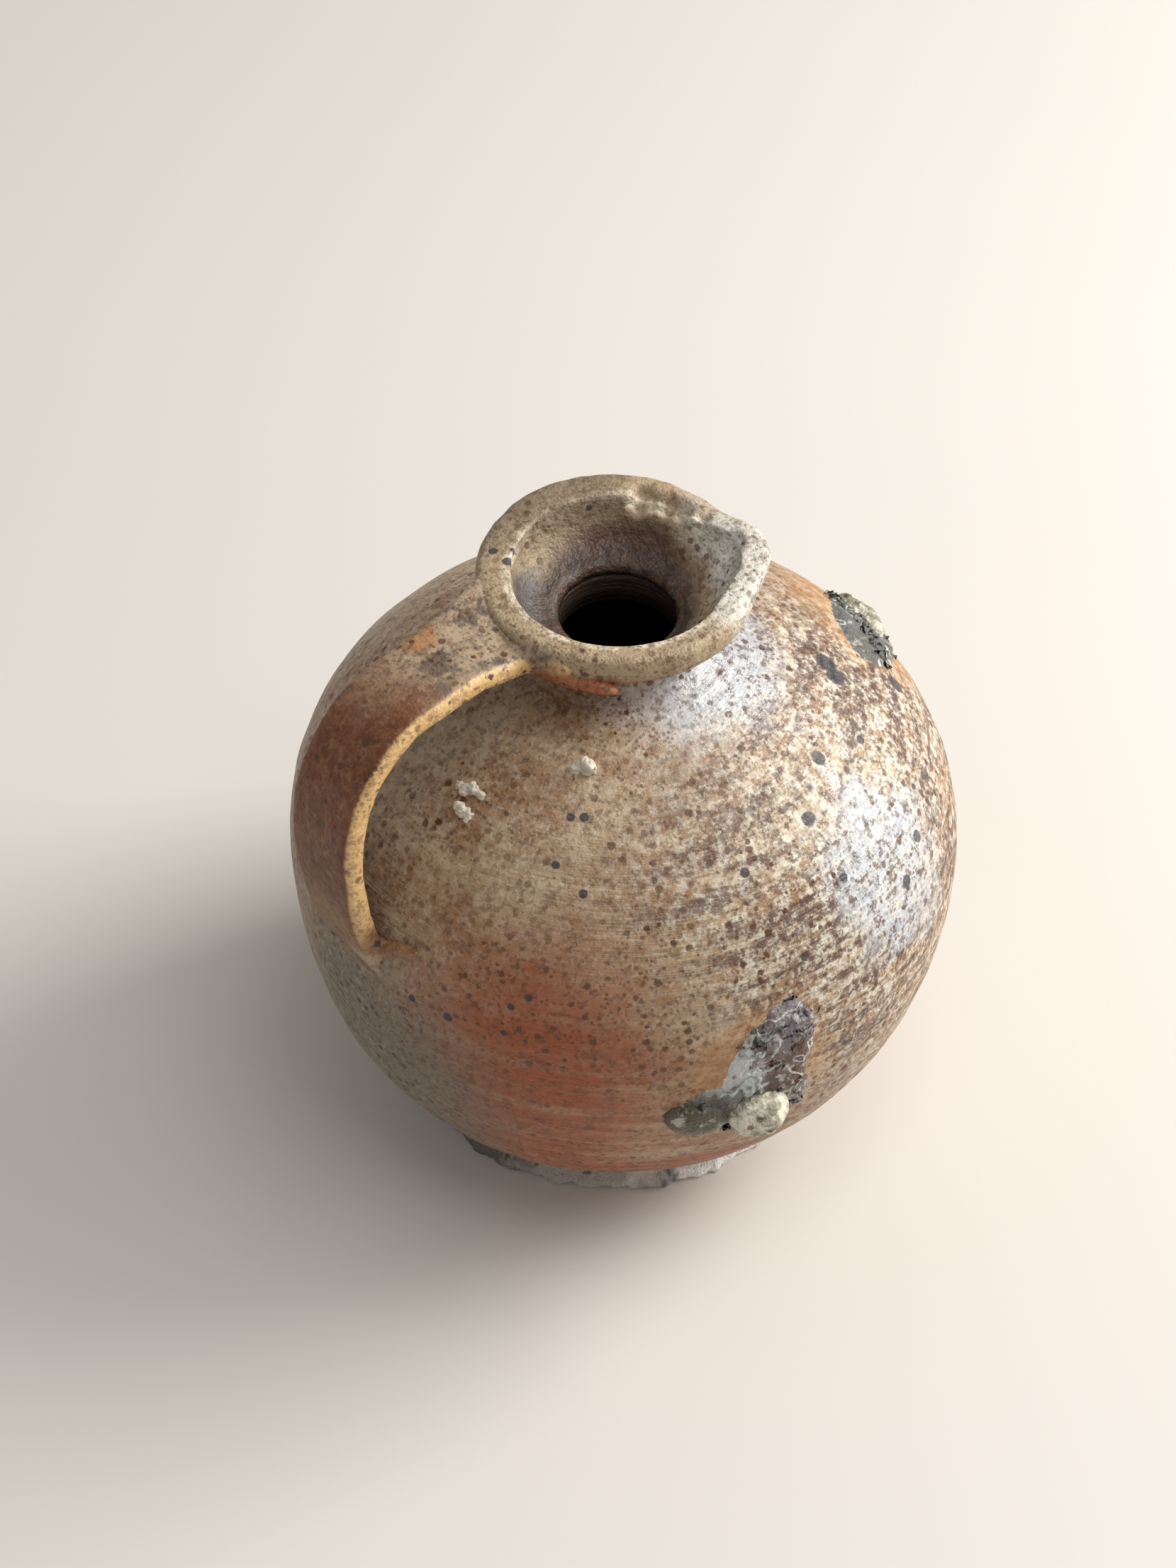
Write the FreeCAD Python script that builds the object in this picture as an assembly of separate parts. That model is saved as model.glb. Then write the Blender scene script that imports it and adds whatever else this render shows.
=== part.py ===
"""Stoneware jug: a thrown globular body with a frilled foot, a short neck, a flared rim pinched
into a pouring lip, a pulled strap handle and the marks that the kiln left on its wall.

Frame: millimetres, +Z up, origin at the centre of the flat base. The handle stands on -X.
Every piece is formed clay that was luted on or stuck to its neighbour before firing, so pieces
meet face to face: each later piece is cut by the filled shape of what it sits on.
"""

import FreeCAD, Part
import math
import os

from FreeCAD import Base

Vector = Base.Vector

# Body
belly_radius = 75.0  # outside, at the widest
belly_height = 70.0  # height of the widest ring
base_radius = 45.5  # where the wall leaves the foot
wall = 5.0
floor_thickness = 7.0
lower_fullness = 0.56  # pull of the lower wall towards a bowl, as a share of its height
lower_lean = 13.0  # how far the wall has spread by the end of that first pull
shoulder_height = 128.0  # flat joint between shoulder and neck
shoulder_fullness = 0.83  # pull of the shoulder above the belly, as a share of its height
shoulder_sweep = 4.5  # height of the hollow sweep below the neck
shoulder_flare = 6.0  # how far that sweep has spread at its foot

# Foot
foot_height = 5.0
foot_spread = 3.6  # how far the foot ring stands out of the base
foot_lip = 1.6  # height of the ring's square edge

# Neck and throat
neck_radius = 20.0
neck_height = 7.5
throat_radius = 12.7
throat_drop = 6.0  # how far the straight throat reaches below the shoulder joint
throat_rise = 5.5  # and how far above it
funnel_start = 0.8  # how much the throat has opened at the top of the neck

# Rim and pouring lip
rim_height = 10.5  # top of the rolled band above the neck, on its low side
crest_radius = 22.6  # where the funnel turns over into the band
crest_drop = 1.6  # the crest is this much lower than the top of the band
rim_band = 5.6  # width of the rolled band, crest to outside
rim_swell = 3.2  # extra width on the thick side
rim_rise = 2.4  # extra height on the thick side
thick_azimuth = math.radians(70.0)  # the side where the band is thickest and highest
lip_azimuth = math.radians(-24.0)  # the lip isn't quite opposite the handle
lip_reach = 4.2  # extra radius at the lip's tip
lip_lift = 1.6  # extra height at the lip's tip
lip_spread = math.radians(22.0)  # half width of the pinched part
lip_thinning = 2.0  # the band is this much narrower at the lip's tip
rim_sections = 36

# Strap handle
strap_width = 20.0
strap_thickness = 5.2
strap_root_width = 28.0  # where it is wiped on to the rim
handle_proud = 1.2  # centre line, at its furthest out, beyond the belly
handle_crown_rise = 6.9  # centre line, at its highest, above the top of the neck
handle_crown_inset = 25.2  # the crown is this much nearer the axis than the furthest point
handle_root_inset = 2.4  # where the centre line starts, outside the crest
handle_root_rise = 5.5  # and above the top of the neck
handle_end_rise = 12.0  # where the centre line meets the wall, above the widest ring
handle_end_depth = 1.3  # and how deep in the wall it ends
handle_skew = 8.0  # sideways offset of the upper root
strap_sections = 11

# Clay wiped round the handle's two joints
lower_lute_azimuth = -171.5  # smeared to one side of the strap
lower_lute_rise = 5.5  # its centre above the strap's end
lower_lute_size = (4.0, 15.5, 4.4)  # half axes: out of the wall, round it, up it
lower_lute_twist = 27.0  # the smeared end rises
upper_lute_azimuth = -160.0
upper_lute_size = (6.3, 15.5, 3.6)
upper_lute_out = 5.5  # its centre stands this far out of the neck
upper_lute_rise = 1.6  # and this far above the top of the neck

# Kiln marks. Heights on the belly are counted from its widest ring, and on the shoulder down
# from its top. A scar is a lens with half length, half width, tilt and thickness.
front_scar_height = belly_height - 2.5
front_scar = dict(azimuth=-105.5, length=21.0, width=11.5, tilt=32.0, thick=1.2)
wad_azimuth = -105.0  # the lump at the foot of the front scar
wad_height = belly_height - 17.0
wad_size = (6.0, 7.0, 5.5)
side_scar_height = shoulder_height - 23.0
side_scar = dict(azimuth=-9.0, length=21.0, width=8.0, tilt=54.0, thick=1.6)
shard_azimuth = -7.0  # the broken shard in the side scar
shard_height = shoulder_height - 25.0
shard_size = (3.4, 8.0, 3.6)
crumbs = [(-142.0, 5.5, 2.6), (-170.5, 11.0, 2.8), (-168.0, 13.5, 2.2)]  # azimuth, drop, size
crumb_stretch = (0.55, 1.0, 0.75)


def bezier(*poles):
    """An edge along a Bezier curve in the XZ plane, from (radius, height) pairs."""
    curve = Part.BezierCurve()
    curve.setPoles([Vector(r, 0, z) for r, z in poles])
    return curve.toShape()


def line(*points):
    """Straight edges through (radius, height) pairs."""
    ends = [Vector(r, 0, z) for r, z in points]
    return [Part.makeLine(a, b) for a, b in zip(ends, ends[1:])]


def spun(edges):
    """The solid that a closed outline of edges makes round the Z axis."""
    face = Part.Face(Part.Wire(edges))
    solid = face.revolve(Vector(0, 0, 0), Vector(0, 0, 1), 360)
    return solid if solid.Volume > 0 else solid.reversed()


def wall_curves(grow):
    """Lower and upper curve of the wall's outside, moved outwards by grow."""
    lower_pull = lower_fullness * (belly_height - foot_height)
    shoulder_pull = shoulder_fullness * (shoulder_height - belly_height)
    low = bezier(
        (base_radius + grow, foot_height),
        (base_radius + lower_lean + grow, foot_height + 0.2 * (belly_height - foot_height)),
        (belly_radius + grow, belly_height - lower_pull),
        (belly_radius + grow, belly_height),
    )
    high = bezier(
        (belly_radius + grow, belly_height),
        (belly_radius + grow, belly_height + shoulder_pull + grow),
        (neck_radius + shoulder_flare + grow, shoulder_height - shoulder_sweep + grow),
        (neck_radius + grow, shoulder_height + grow),
    )
    return low, high


def filled_body(grow=0.0):
    """The body with no hollow: what the handle, the scars and the crumbs are cut by."""
    low, high = wall_curves(grow)
    top, radius = shoulder_height + grow, neck_radius + grow
    return spun(
        line((0, top), (0, 0), (base_radius + grow, 0), (base_radius + grow, foot_height))
        + [low, high]
        + line((radius, top), (0, top))
    )


def body_hollow():
    """The space inside the body, up through the straight part of the throat."""
    inner_belly = belly_radius - wall
    throat_foot = shoulder_height - throat_drop
    inner_floor = base_radius - wall
    lower_pull = lower_fullness * (belly_height - floor_thickness)
    shoulder_pull = shoulder_fullness * (shoulder_height - belly_height)
    low = bezier(
        (inner_floor, floor_thickness),
        (inner_floor + lower_lean, floor_thickness + 0.12 * (belly_height - floor_thickness)),
        (inner_belly, belly_height - lower_pull),
        (inner_belly, belly_height),
    )
    high = bezier(
        (inner_belly, belly_height),
        (inner_belly, belly_height + shoulder_pull - wall),
        (neck_radius + shoulder_flare - wall / 2, shoulder_height - shoulder_sweep - wall),
        (throat_radius, throat_foot),
    )
    top = shoulder_height
    return spun(
        line((0, top), (0, floor_thickness), (inner_floor, floor_thickness))
        + [low, high]
        + line((throat_radius, throat_foot), (throat_radius, top), (0, top))
    )


def make_body():
    return filled_body().cut(body_hollow())


def make_foot_ring():
    """A ring squeezed out at the base, with a square edge and a sloping top."""
    outside = base_radius + foot_spread
    return spun(
        line(
            (base_radius, 0),
            (outside, 0),
            (outside, foot_lip),
            (base_radius, foot_height),
            (base_radius, 0),
        )
    )


def make_neck():
    """A waisted collar whose inside is the straight throat and the start of the funnel."""
    foot, top = shoulder_height, shoulder_height + neck_height
    funnel = throat_radius + funnel_start
    throat_top = foot + throat_rise
    waist = neck_radius - 0.06 * neck_radius
    outside = bezier((neck_radius, foot), (waist, foot + neck_height / 2), (neck_radius, top))
    flare = bezier((funnel, top), (throat_radius, (top + throat_top) / 2), (throat_radius, throat_top))
    return spun(
        line((throat_radius, foot), (neck_radius, foot))
        + [outside]
        + line((neck_radius, top), (funnel, top))
        + [flare]
        + line((throat_radius, throat_top), (throat_radius, foot))
    )


def lip_share(azimuth):
    """1 at the tip of the pouring lip, falling smoothly to 0 on both sides."""
    turn = (azimuth - lip_azimuth + math.pi) % (2 * math.pi) - math.pi
    return math.exp(-((turn / lip_spread) ** 2))


def rim_wire(azimuth):
    """The rim's section at one azimuth: funnel wall, rounded crest, rolled band, underside."""
    lip = lip_share(azimuth)
    thick = ((1 + math.cos(azimuth - thick_azimuth)) / 2) ** 1.5
    foot = shoulder_height + neck_height
    top = foot + rim_height + rim_rise * thick + lip_lift * lip
    inner = throat_radius + funnel_start
    crest = crest_radius + lip_reach * lip
    outside = crest + rim_band + rim_swell * thick - lip_thinning * lip
    middle = (crest + outside) / 2
    edge = top - crest_drop
    shoulder = top - 0.4 * rim_height
    under = foot + 2.5
    side = Vector(math.cos(azimuth), math.sin(azimuth), 0)

    def at(radius, height):
        return side * radius + Vector(0, 0, height)

    def curve(*poles):
        edge = Part.BezierCurve()
        edge.setPoles([at(r, z) for r, z in poles])
        return edge.toShape()

    return Part.Wire(
        [
            curve((inner, foot), (inner + 2, foot + 4), (crest - 2.5, edge - 3), (crest, edge)),
            curve((crest, edge), (crest + 1, top), (middle, top)),
            curve((middle, top), (outside, top), (outside, shoulder)),
            curve((outside, shoulder), (outside, foot + 2), (neck_radius + 2, under), (neck_radius, foot)),
            Part.makeLine(at(neck_radius, foot), at(inner, foot)),
        ]
    )


def make_rim():
    """The flared rim with its pinched lip, skinned round through one section per step."""
    step = 2 * math.pi / rim_sections
    wires = [rim_wire(math.pi + n * step) for n in range(rim_sections)]
    return Part.makeLoft(wires, True, False, True)


def handle_path():
    """Centre line of the strap, from inside the rim over the crown to inside the belly wall."""
    neck_top = shoulder_height + neck_height
    root = (crest_radius + handle_root_inset, neck_top + handle_root_rise)
    reach = belly_radius + handle_proud
    crown = (reach - handle_crown_inset, neck_top + handle_crown_rise)
    end_height = belly_height + handle_end_rise
    end = (wall_radius(end_height) - handle_end_depth, end_height)
    drop = (crown[1] - end_height) / 2
    furthest = (reach, end_height + drop)
    rise = (crown[0] - root[0]) / 3
    fall = 0.62 * handle_crown_inset
    return [
        [root, (root[0] + rise, root[1] + 0.5), (crown[0] - rise, crown[1]), crown],
        [crown, (crown[0] + fall, crown[1]), (reach, furthest[1] + 0.55 * drop), furthest],
        [furthest, (reach, furthest[1] - 0.4 * drop), (end[0] + 2.5, end_height + 0.3 * drop), end],
    ]


def path_point(poles, t):
    """Point and direction on one cubic of the path, at t from 0 to 1, as (radius, height)."""
    weights = ((1 - t) ** 3, 3 * t * (1 - t) ** 2, 3 * t**2 * (1 - t), t**3)
    slopes = (-3 * (1 - t) ** 2, 3 * (1 - t) * (1 - 3 * t), 3 * t * (2 - 3 * t), 3 * t**2)
    point = [sum(w * p[i] for w, p in zip(weights, poles)) for i in (0, 1)]
    slope = [sum(s * p[i] for s, p in zip(slopes, poles)) for i in (0, 1)]
    length = math.hypot(*slope)
    return point, [slope[0] / length, slope[1] / length]


def strap_wire(place, along, width, thickness):
    """A rounded strap section across the path at place, a (radius, height, sideways) triple."""
    radius, height, sideways = place
    centre = Vector(-radius, sideways, height)
    out = Vector(-along[1], 0, -along[0]) * -1  # square to the path, away from the belly
    side = Vector(0, 1, 0)
    half, edge = width / 2, thickness / 2
    flat = half - edge

    def at(across, up):
        return centre + side * across + out * up

    top = Part.makeLine(at(-flat, edge), at(flat, edge))
    right = Part.Arc(at(flat, edge), at(half, 0), at(flat, -edge)).toShape()
    bottom = Part.makeLine(at(flat, -edge), at(-flat, -edge))
    left = Part.Arc(at(-flat, -edge), at(-half, 0), at(-flat, edge)).toShape()
    return Part.Wire([top, right, bottom, left])


def strap_solid():
    """The whole strap, its ends still inside the rim and the belly wall."""
    cubics = handle_path()
    wires = []
    for n in range(strap_sections):
        whole = n / (strap_sections - 1) * len(cubics)
        index = min(int(whole), len(cubics) - 1)
        (radius, height), along = path_point(cubics[index], whole - index)
        share = n / (strap_sections - 1)
        width = strap_width + (strap_root_width - strap_width) * max(0, 1 - 4 * share) ** 2
        sideways = handle_skew * max(0, 1 - 1.6 * share)
        wires.append(strap_wire((radius, height, sideways), along, width, strap_thickness))
    return Part.makeLoft(wires, True)


def ellipsoid(size, centre, azimuth, lean=0.0, twist=0.0, seam=0.0):
    """An ellipsoid with half axes (outwards, sideways, upwards), twisted, leant and turned.

    Its seam faces outwards, or inwards when it is turned by 180.
    """
    ball = Part.makeSphere(1.0)
    ball.rotate(Vector(0, 0, 0), Vector(0, 0, 1), seam)
    stretch = Base.Matrix()
    stretch.scale(*size)
    shape = ball.transformGeometry(stretch)
    shape.rotate(Vector(0, 0, 0), Vector(1, 0, 0), twist)
    shape.rotate(Vector(0, 0, 0), Vector(0, 1, 0), -lean)
    shape.rotate(Vector(0, 0, 0), Vector(0, 0, 1), azimuth)
    shape.translate(centre)
    return shape


def wall_radius(height):
    """Outside radius of the body's wall at a height."""
    reach = belly_radius + wall
    level = Part.makeLine(Vector(neck_radius / 2, 0, height), Vector(reach, 0, height))
    for curve in wall_curves(0.0):
        gap, pairs, _ = curve.distToShape(level)
        if gap < 1e-4:
            return max(pair[0].x for pair in pairs)
    return base_radius


def on_wall(azimuth, height):
    """Point on the outside of the wall, and the wall's lean there in degrees above level."""
    radius, step = wall_radius(height), 1.0
    slope = (wall_radius(height - step) - wall_radius(height + step)) / (2 * step)
    angle = math.radians(azimuth)
    point = Vector(radius * math.cos(angle), radius * math.sin(angle), height)
    return point, math.degrees(math.atan(slope))


def scar_patch(height, azimuth, length, width, tilt, thick):
    """A thin lens of fused kiln clay that follows the wall."""
    point, lean = on_wall(azimuth, height)
    reach = 8.0
    face = Part.Face(Part.Wire(Part.Ellipse(Vector(0, 0, 0), length, width).toShape()))
    lens = face.extrude(Vector(0, 0, 2 * reach))
    lens.translate(Vector(0, 0, -reach))
    lens.rotate(Vector(0, 0, 0), Vector(0, 0, 1), 90 + tilt)
    lens.rotate(Vector(0, 0, 0), Vector(0, 1, 0), 90 - lean)
    lens.rotate(Vector(0, 0, 0), Vector(0, 0, 1), azimuth)
    lens.translate(point)
    return filled_body(thick).common(lens).cut(filled_body())


def stuck_lump(place, size, twist=0.0, seam=0.0):
    """A lump pressed on to the wall: half axes (outwards, sideways, upwards)."""
    point, lean = on_wall(*place)
    return ellipsoid(size, point, place[0], lean, twist, seam).cut(filled_body())


def make_crumb(azimuth, drop, size):
    """A crumb of clay on the shoulder."""
    return stuck_lump((azimuth, shoulder_height - drop), [size * share for share in crumb_stretch])


def outermost(shape, azimuth):
    """Of the solids a cut left, the one furthest out on that side."""
    angle = math.radians(azimuth)
    side = Vector(math.cos(angle), math.sin(angle), 0)
    return max(shape.Solids, key=lambda solid: solid.CenterOfMass.dot(side))


def main():
    os.makedirs("parts", exist_ok=True)
    body, neck, rim = make_body(), make_neck(), make_rim()
    solid_body = filled_body()
    rim_foot = Vector(0, 0, shoulder_height + neck_height)
    throat_plug = Part.makeCylinder(crest_radius, rim_height * 2, rim_foot)

    handle = outermost(strap_solid().cut(solid_body).cut(rim).cut(throat_plug).cut(neck), 180)

    lower_place = (lower_lute_azimuth, belly_height + handle_end_rise + lower_lute_rise)
    lower_lute = stuck_lump(lower_place, lower_lute_size, lower_lute_twist, 180).cut(handle)
    angle, reach = math.radians(upper_lute_azimuth), neck_radius + upper_lute_out
    height = shoulder_height + neck_height + upper_lute_rise
    centre = Vector(reach * math.cos(angle), reach * math.sin(angle), height)
    upper_lute = ellipsoid(upper_lute_size, centre, upper_lute_azimuth)
    upper_lute = upper_lute.cut(rim).cut(neck).cut(throat_plug).cut(solid_body).cut(handle)

    front_patch = scar_patch(front_scar_height, **front_scar)
    side_patch = scar_patch(side_scar_height, **side_scar)
    nodes = {
        "body": body,
        "foot_ring": make_foot_ring(),
        "neck": neck,
        "rim_and_pouring_lip": rim,
        "strap_handle": handle,
        "handle_upper_lute": upper_lute,
        "handle_lower_lute": lower_lute,
        "kiln_scar_front": front_patch,
        "kiln_wad_lump": stuck_lump((wad_azimuth, wad_height), wad_size).cut(front_patch),
        "kiln_scar_side": side_patch,
        "kiln_shard": stuck_lump((shard_azimuth, shard_height), shard_size).cut(side_patch),
    }
    for number, crumb in enumerate(crumbs, start=1):
        nodes[f"clay_crumb_{number}"] = make_crumb(*crumb)
    for name, shape in nodes.items():
        print(name, len(shape.Solids), "solid,", round(shape.Volume), "mm3, valid", shape.isValid())
        shape.Solids[0].exportStep(f"parts/{name}.step")


main()
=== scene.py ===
"""A small salt-glazed stoneware jug, modelled round its fixed frame as a potter would build it."""

import math

import bpy
from mathutils import Matrix, Vector


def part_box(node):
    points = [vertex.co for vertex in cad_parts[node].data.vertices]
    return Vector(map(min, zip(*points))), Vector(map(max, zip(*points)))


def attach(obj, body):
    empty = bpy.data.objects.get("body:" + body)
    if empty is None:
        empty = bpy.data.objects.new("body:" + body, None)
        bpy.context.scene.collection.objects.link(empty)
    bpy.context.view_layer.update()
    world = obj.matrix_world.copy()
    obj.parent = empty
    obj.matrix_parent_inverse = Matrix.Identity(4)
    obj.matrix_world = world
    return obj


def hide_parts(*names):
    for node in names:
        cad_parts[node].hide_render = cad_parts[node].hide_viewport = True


bl_info = {
    "name": "Salt-glazed stoneware jug",
    "version": (1, 0, 0),
    "blender": (4, 5, 0),
    "location": "3D View > Sidebar > Jug",
    "description": "Models a small thrown jug with its handle, kiln scars and fired surface",
    "category": "Add Mesh",
}

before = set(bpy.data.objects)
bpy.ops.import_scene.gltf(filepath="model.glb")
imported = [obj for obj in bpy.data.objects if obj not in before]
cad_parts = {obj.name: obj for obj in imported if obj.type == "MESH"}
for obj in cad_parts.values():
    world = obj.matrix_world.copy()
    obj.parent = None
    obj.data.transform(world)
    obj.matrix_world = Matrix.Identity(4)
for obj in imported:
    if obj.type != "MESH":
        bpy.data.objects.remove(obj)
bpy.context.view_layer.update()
body_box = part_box("body")
neck_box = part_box("neck")
rim_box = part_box("rim_and_pouring_lip")
foot_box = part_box("foot_ring")

MM = 0.001


def paint(red, green, blue):
    """A colour as it is seen, 0 to 255, turned into the light values that shaders take."""
    shares = [channel / 255 for channel in (red, green, blue)]
    return tuple(s / 12.92 if s <= 0.04045 else ((s + 0.055) / 1.055) ** 2.4 for s in shares)


def length(name, description, default):
    """A size in metres that a user can change."""
    return bpy.props.FloatProperty(name=name, description=description, default=default, unit="LENGTH")


def colour(name, description, default):
    """A surface colour that a user can change."""
    return bpy.props.FloatVectorProperty(
        name=name, description=description, default=default, subtype="COLOR", min=0, max=1
    )


class JugSizes(bpy.types.PropertyGroup):
    """Sizes of the jug's pieces."""

    belly_radius: length("Belly radius", "Half the widest part", body_box[1].x)
    belly_height: length("Belly height", "Height of the widest part", 70 * MM)
    base_radius: length("Base radius", "Radius of the flat base", 45.5 * MM)
    shoulder_height: length("Shoulder height", "Where the neck starts", body_box[1].z)
    neck_radius: length("Neck radius", "Outside of the neck", neck_box[1].x)
    neck_top: length("Neck top", "Where the rim starts", neck_box[1].z)
    throat_radius: length("Throat radius", "Narrowest part of the opening", 12.7 * MM)
    wall: length("Wall", "Thickness of the thrown wall", 5 * MM)
    lean: length("Lean", "How far the belly sags to one side", 1.8 * MM)
    ridges: length("Throwing ridges", "Depth of the ridges that the fingers left", 0.16 * MM)
    foot_radius: length("Foot radius", "Outside of the foot ring", foot_box[1].x)
    foot_height: length("Foot height", "Height of the foot ring", foot_box[1].z)
    crest_radius: length("Crest radius", "Inside edge of the rim's top", 22.6 * MM)
    rim_radius: length("Rim radius", "Outside of the rim on its thin side", 28.2 * MM)
    rim_top: length("Rim top", "Top of the rim on its low side", 146 * MM)
    rim_swell: length("Rim swell", "How much wider the rim is on its thick side", 3.2 * MM)
    rim_rise: length("Rim rise", "How much higher the rim is on its thick side", 2.4 * MM)
    lip_reach: length("Lip reach", "How far the pouring lip is pulled out", 3.6 * MM)
    lip_lift: length("Lip lift", "How far the pouring lip is pulled up", 1.6 * MM)
    strap_width: length("Strap width", "Width of the handle", 20 * MM)
    strap_thickness: length("Strap thickness", "Thickness of the handle", 5.2 * MM)
    strap_root: length("Strap root", "Width of the handle where it meets the rim", 24 * MM)


class JugColours(bpy.types.PropertyGroup):
    """Colours of the fired clay and its glazes."""

    putty: colour("Putty", "The clay under its thin salt glaze", paint(182, 158, 124))
    tan: colour("Tan", "Warmer clay between the putty parts", paint(148, 110, 74))
    ochre: colour("Ochre", "The orange freckled side", paint(190, 132, 66))
    rust: colour("Rust", "The red flush of the flame", paint(152, 70, 20))
    slate: colour("Slate", "Blue-grey matt patches", paint(122, 116, 102))
    ash: colour("Ash glaze", "Pale bluish glaze on the side that faced the fire", paint(198, 204, 210))
    cream: colour("Cream", "Pale clay on worn edges", paint(230, 222, 204))
    iron: colour("Iron", "Blue-black iron spots", paint(46, 44, 50))
    freckle: colour("Freckle", "Fine brown specks", paint(82, 46, 20))
    crust: colour("Kiln crust", "Grey crust on the kiln scars", paint(112, 106, 102))
    floor: colour("Floor", "Plain floor", paint(222, 216, 208))


class JugStage(bpy.types.PropertyGroup):
    """Camera and light."""

    camera_azimuth: bpy.props.FloatProperty(
        name="Camera azimuth", description="Side the camera stands on", default=math.radians(-129), subtype="ANGLE"
    )
    camera_elevation: bpy.props.FloatProperty(
        name="Camera elevation", description="How far it looks down", default=math.radians(45), subtype="ANGLE"
    )
    camera_distance: length("Camera distance", "From the camera to the point it looks at", 0.645)
    lens: bpy.props.FloatProperty(name="Lens", description="Focal length in mm", default=66.4)
    aim: bpy.props.FloatVectorProperty(
        name="Aim", description="Point the camera looks at", default=(-0.00485, 0.00393, 0.08378), unit="LENGTH"
    )
    window: bpy.props.FloatProperty(name="Window", description="Strength of the main light, W", default=20)
    fill: bpy.props.FloatProperty(name="Fill", description="Strength of the light from above, W", default=7.5)
    room: bpy.props.FloatProperty(name="Room light", description="Strength of the light all round", default=0.36)


# ------------------------------------------------------------------ shapes


def bezier(poles, share):
    """The point at a share of the way along a Bezier curve."""
    points = [Vector(pole) for pole in poles]
    while len(points) > 1:
        points = [a.lerp(b, share) for a, b in zip(points, points[1:])]
    return points[0]


def along(poles, steps):
    """Points along a Bezier curve, its start left out."""
    return [bezier(poles, (n + 1) / steps) for n in range(steps)]


def lower_wall(sizes):
    """Outline of the wall below the belly: radius and height."""
    rise = 0.56 * (sizes.belly_height - sizes.foot_height)
    return (
        (sizes.base_radius, sizes.foot_height),
        (sizes.base_radius + 13 * MM, sizes.foot_height + 13 * MM),
        (sizes.belly_radius, sizes.belly_height - rise),
        (sizes.belly_radius, sizes.belly_height),
    )


def upper_wall(sizes):
    """Outline of the wall from the belly over the shoulder."""
    rise = 0.83 * (sizes.shoulder_height - sizes.belly_height)
    return (
        (sizes.belly_radius, sizes.belly_height),
        (sizes.belly_radius, sizes.belly_height + rise),
        (sizes.neck_radius + 5 * MM, sizes.shoulder_height - 5 * MM),
        (sizes.neck_radius - 0.4 * MM, sizes.shoulder_height + 2.2 * MM),
    )


def lean_at(sizes, height):
    """How far the wall leans at a height: nothing at the foot and the neck, most at the belly."""
    share = min(1, max(0, height / sizes.shoulder_height))
    side = math.radians(-39)
    amount = sizes.lean * (4 * share * (1 - share)) ** 1.5
    return Vector((math.cos(side), math.sin(side), 0)) * amount


def on_wall(azimuth, height, out=0):
    """A point on the outside of the wall, at an azimuth in degrees and a height in mm."""
    sizes = bpy.context.scene.jug_sizes
    low = height * MM < sizes.belly_height
    curve = lower_wall(sizes) if low else upper_wall(sizes)
    near, far = 0, 1
    for _ in range(30):
        middle = (near + far) / 2
        if bezier(curve, middle).y < height * MM:
            near = middle
        else:
            far = middle
    radius = bezier(curve, near).x + out * MM
    turn = math.radians(azimuth)
    centre = lean_at(sizes, height * MM)
    return Vector((radius * math.cos(turn), radius * math.sin(turn), height * MM)) + centre


def start(name):
    """Names the primitive that was just added and puts its place into its mesh."""
    piece = bpy.context.object
    piece.name = name
    piece.data.name = name
    bpy.ops.object.transform_apply(location=True, rotation=True, scale=True)
    return piece


def nothing_selected():
    """Leaves edit mode and deselects every object."""
    if bpy.context.object and bpy.context.object.mode != "OBJECT":
        bpy.ops.object.mode_set(mode="OBJECT")
    bpy.ops.object.select_all(action="DESELECT")


def only(piece):
    """Makes one piece the active and only selected one."""
    nothing_selected()
    piece.select_set(True)
    bpy.context.view_layer.objects.active = piece


def pick(piece, wanted):
    """Goes into edit mode with just the vertices selected that wanted says yes to."""
    only(piece)
    bpy.ops.object.mode_set(mode="EDIT")
    bpy.ops.mesh.select_mode(type="VERT")
    bpy.ops.mesh.select_all(action="DESELECT")
    bpy.ops.object.mode_set(mode="OBJECT")
    found = 0
    for vertex in piece.data.vertices:
        vertex.select = wanted(vertex.co)
        found += vertex.select
    if not found:
        raise RuntimeError(f"nothing to select on {piece.name}")
    bpy.ops.object.mode_set(mode="EDIT")


def pull_rings(name, rings, segments):
    """A circle pulled up ring by ring. Each ring is its radius and its centre. Stays in edit mode."""
    nothing_selected()
    radius, centre = rings[0]
    bpy.ops.mesh.primitive_circle_add(vertices=segments, radius=radius, location=centre)
    piece = start(name)
    bpy.ops.object.mode_set(mode="EDIT")
    bpy.ops.mesh.select_all(action="SELECT")
    for (radius, centre), (next_radius, next_centre) in zip(rings, rings[1:]):
        bpy.ops.mesh.extrude_region_move(TRANSFORM_OT_translate={"value": next_centre - centre})
        scale = next_radius / radius
        bpy.ops.transform.resize(value=(scale, scale, 1), center_override=next_centre)
    return piece


def close_pole():
    """Closes the selected ring with a fan of faces."""
    bpy.ops.mesh.edge_face_add()
    bpy.ops.mesh.poke()


def tidy(piece):
    """Merges doubles and turns every face outwards."""
    only(piece)
    bpy.ops.object.mode_set(mode="EDIT")
    bpy.ops.mesh.select_all(action="SELECT")
    bpy.ops.mesh.remove_doubles(threshold=0.00001)
    bpy.ops.mesh.normals_make_consistent(inside=False)
    bpy.ops.object.mode_set(mode="OBJECT")


def push(piece, place, grip, move, reach):
    """Presses the clay at a place: what lies within grip of it moves fully, the rest less, out to reach."""
    nearest = min((vertex.co - place).length for vertex in piece.data.vertices)
    pick(piece, lambda co: (co - place).length <= nearest + grip)
    bpy.ops.transform.translate(
        value=move, use_proportional_edit=True, proportional_edit_falloff="SMOOTH", proportional_size=reach
    )
    bpy.ops.object.mode_set(mode="OBJECT")


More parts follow.
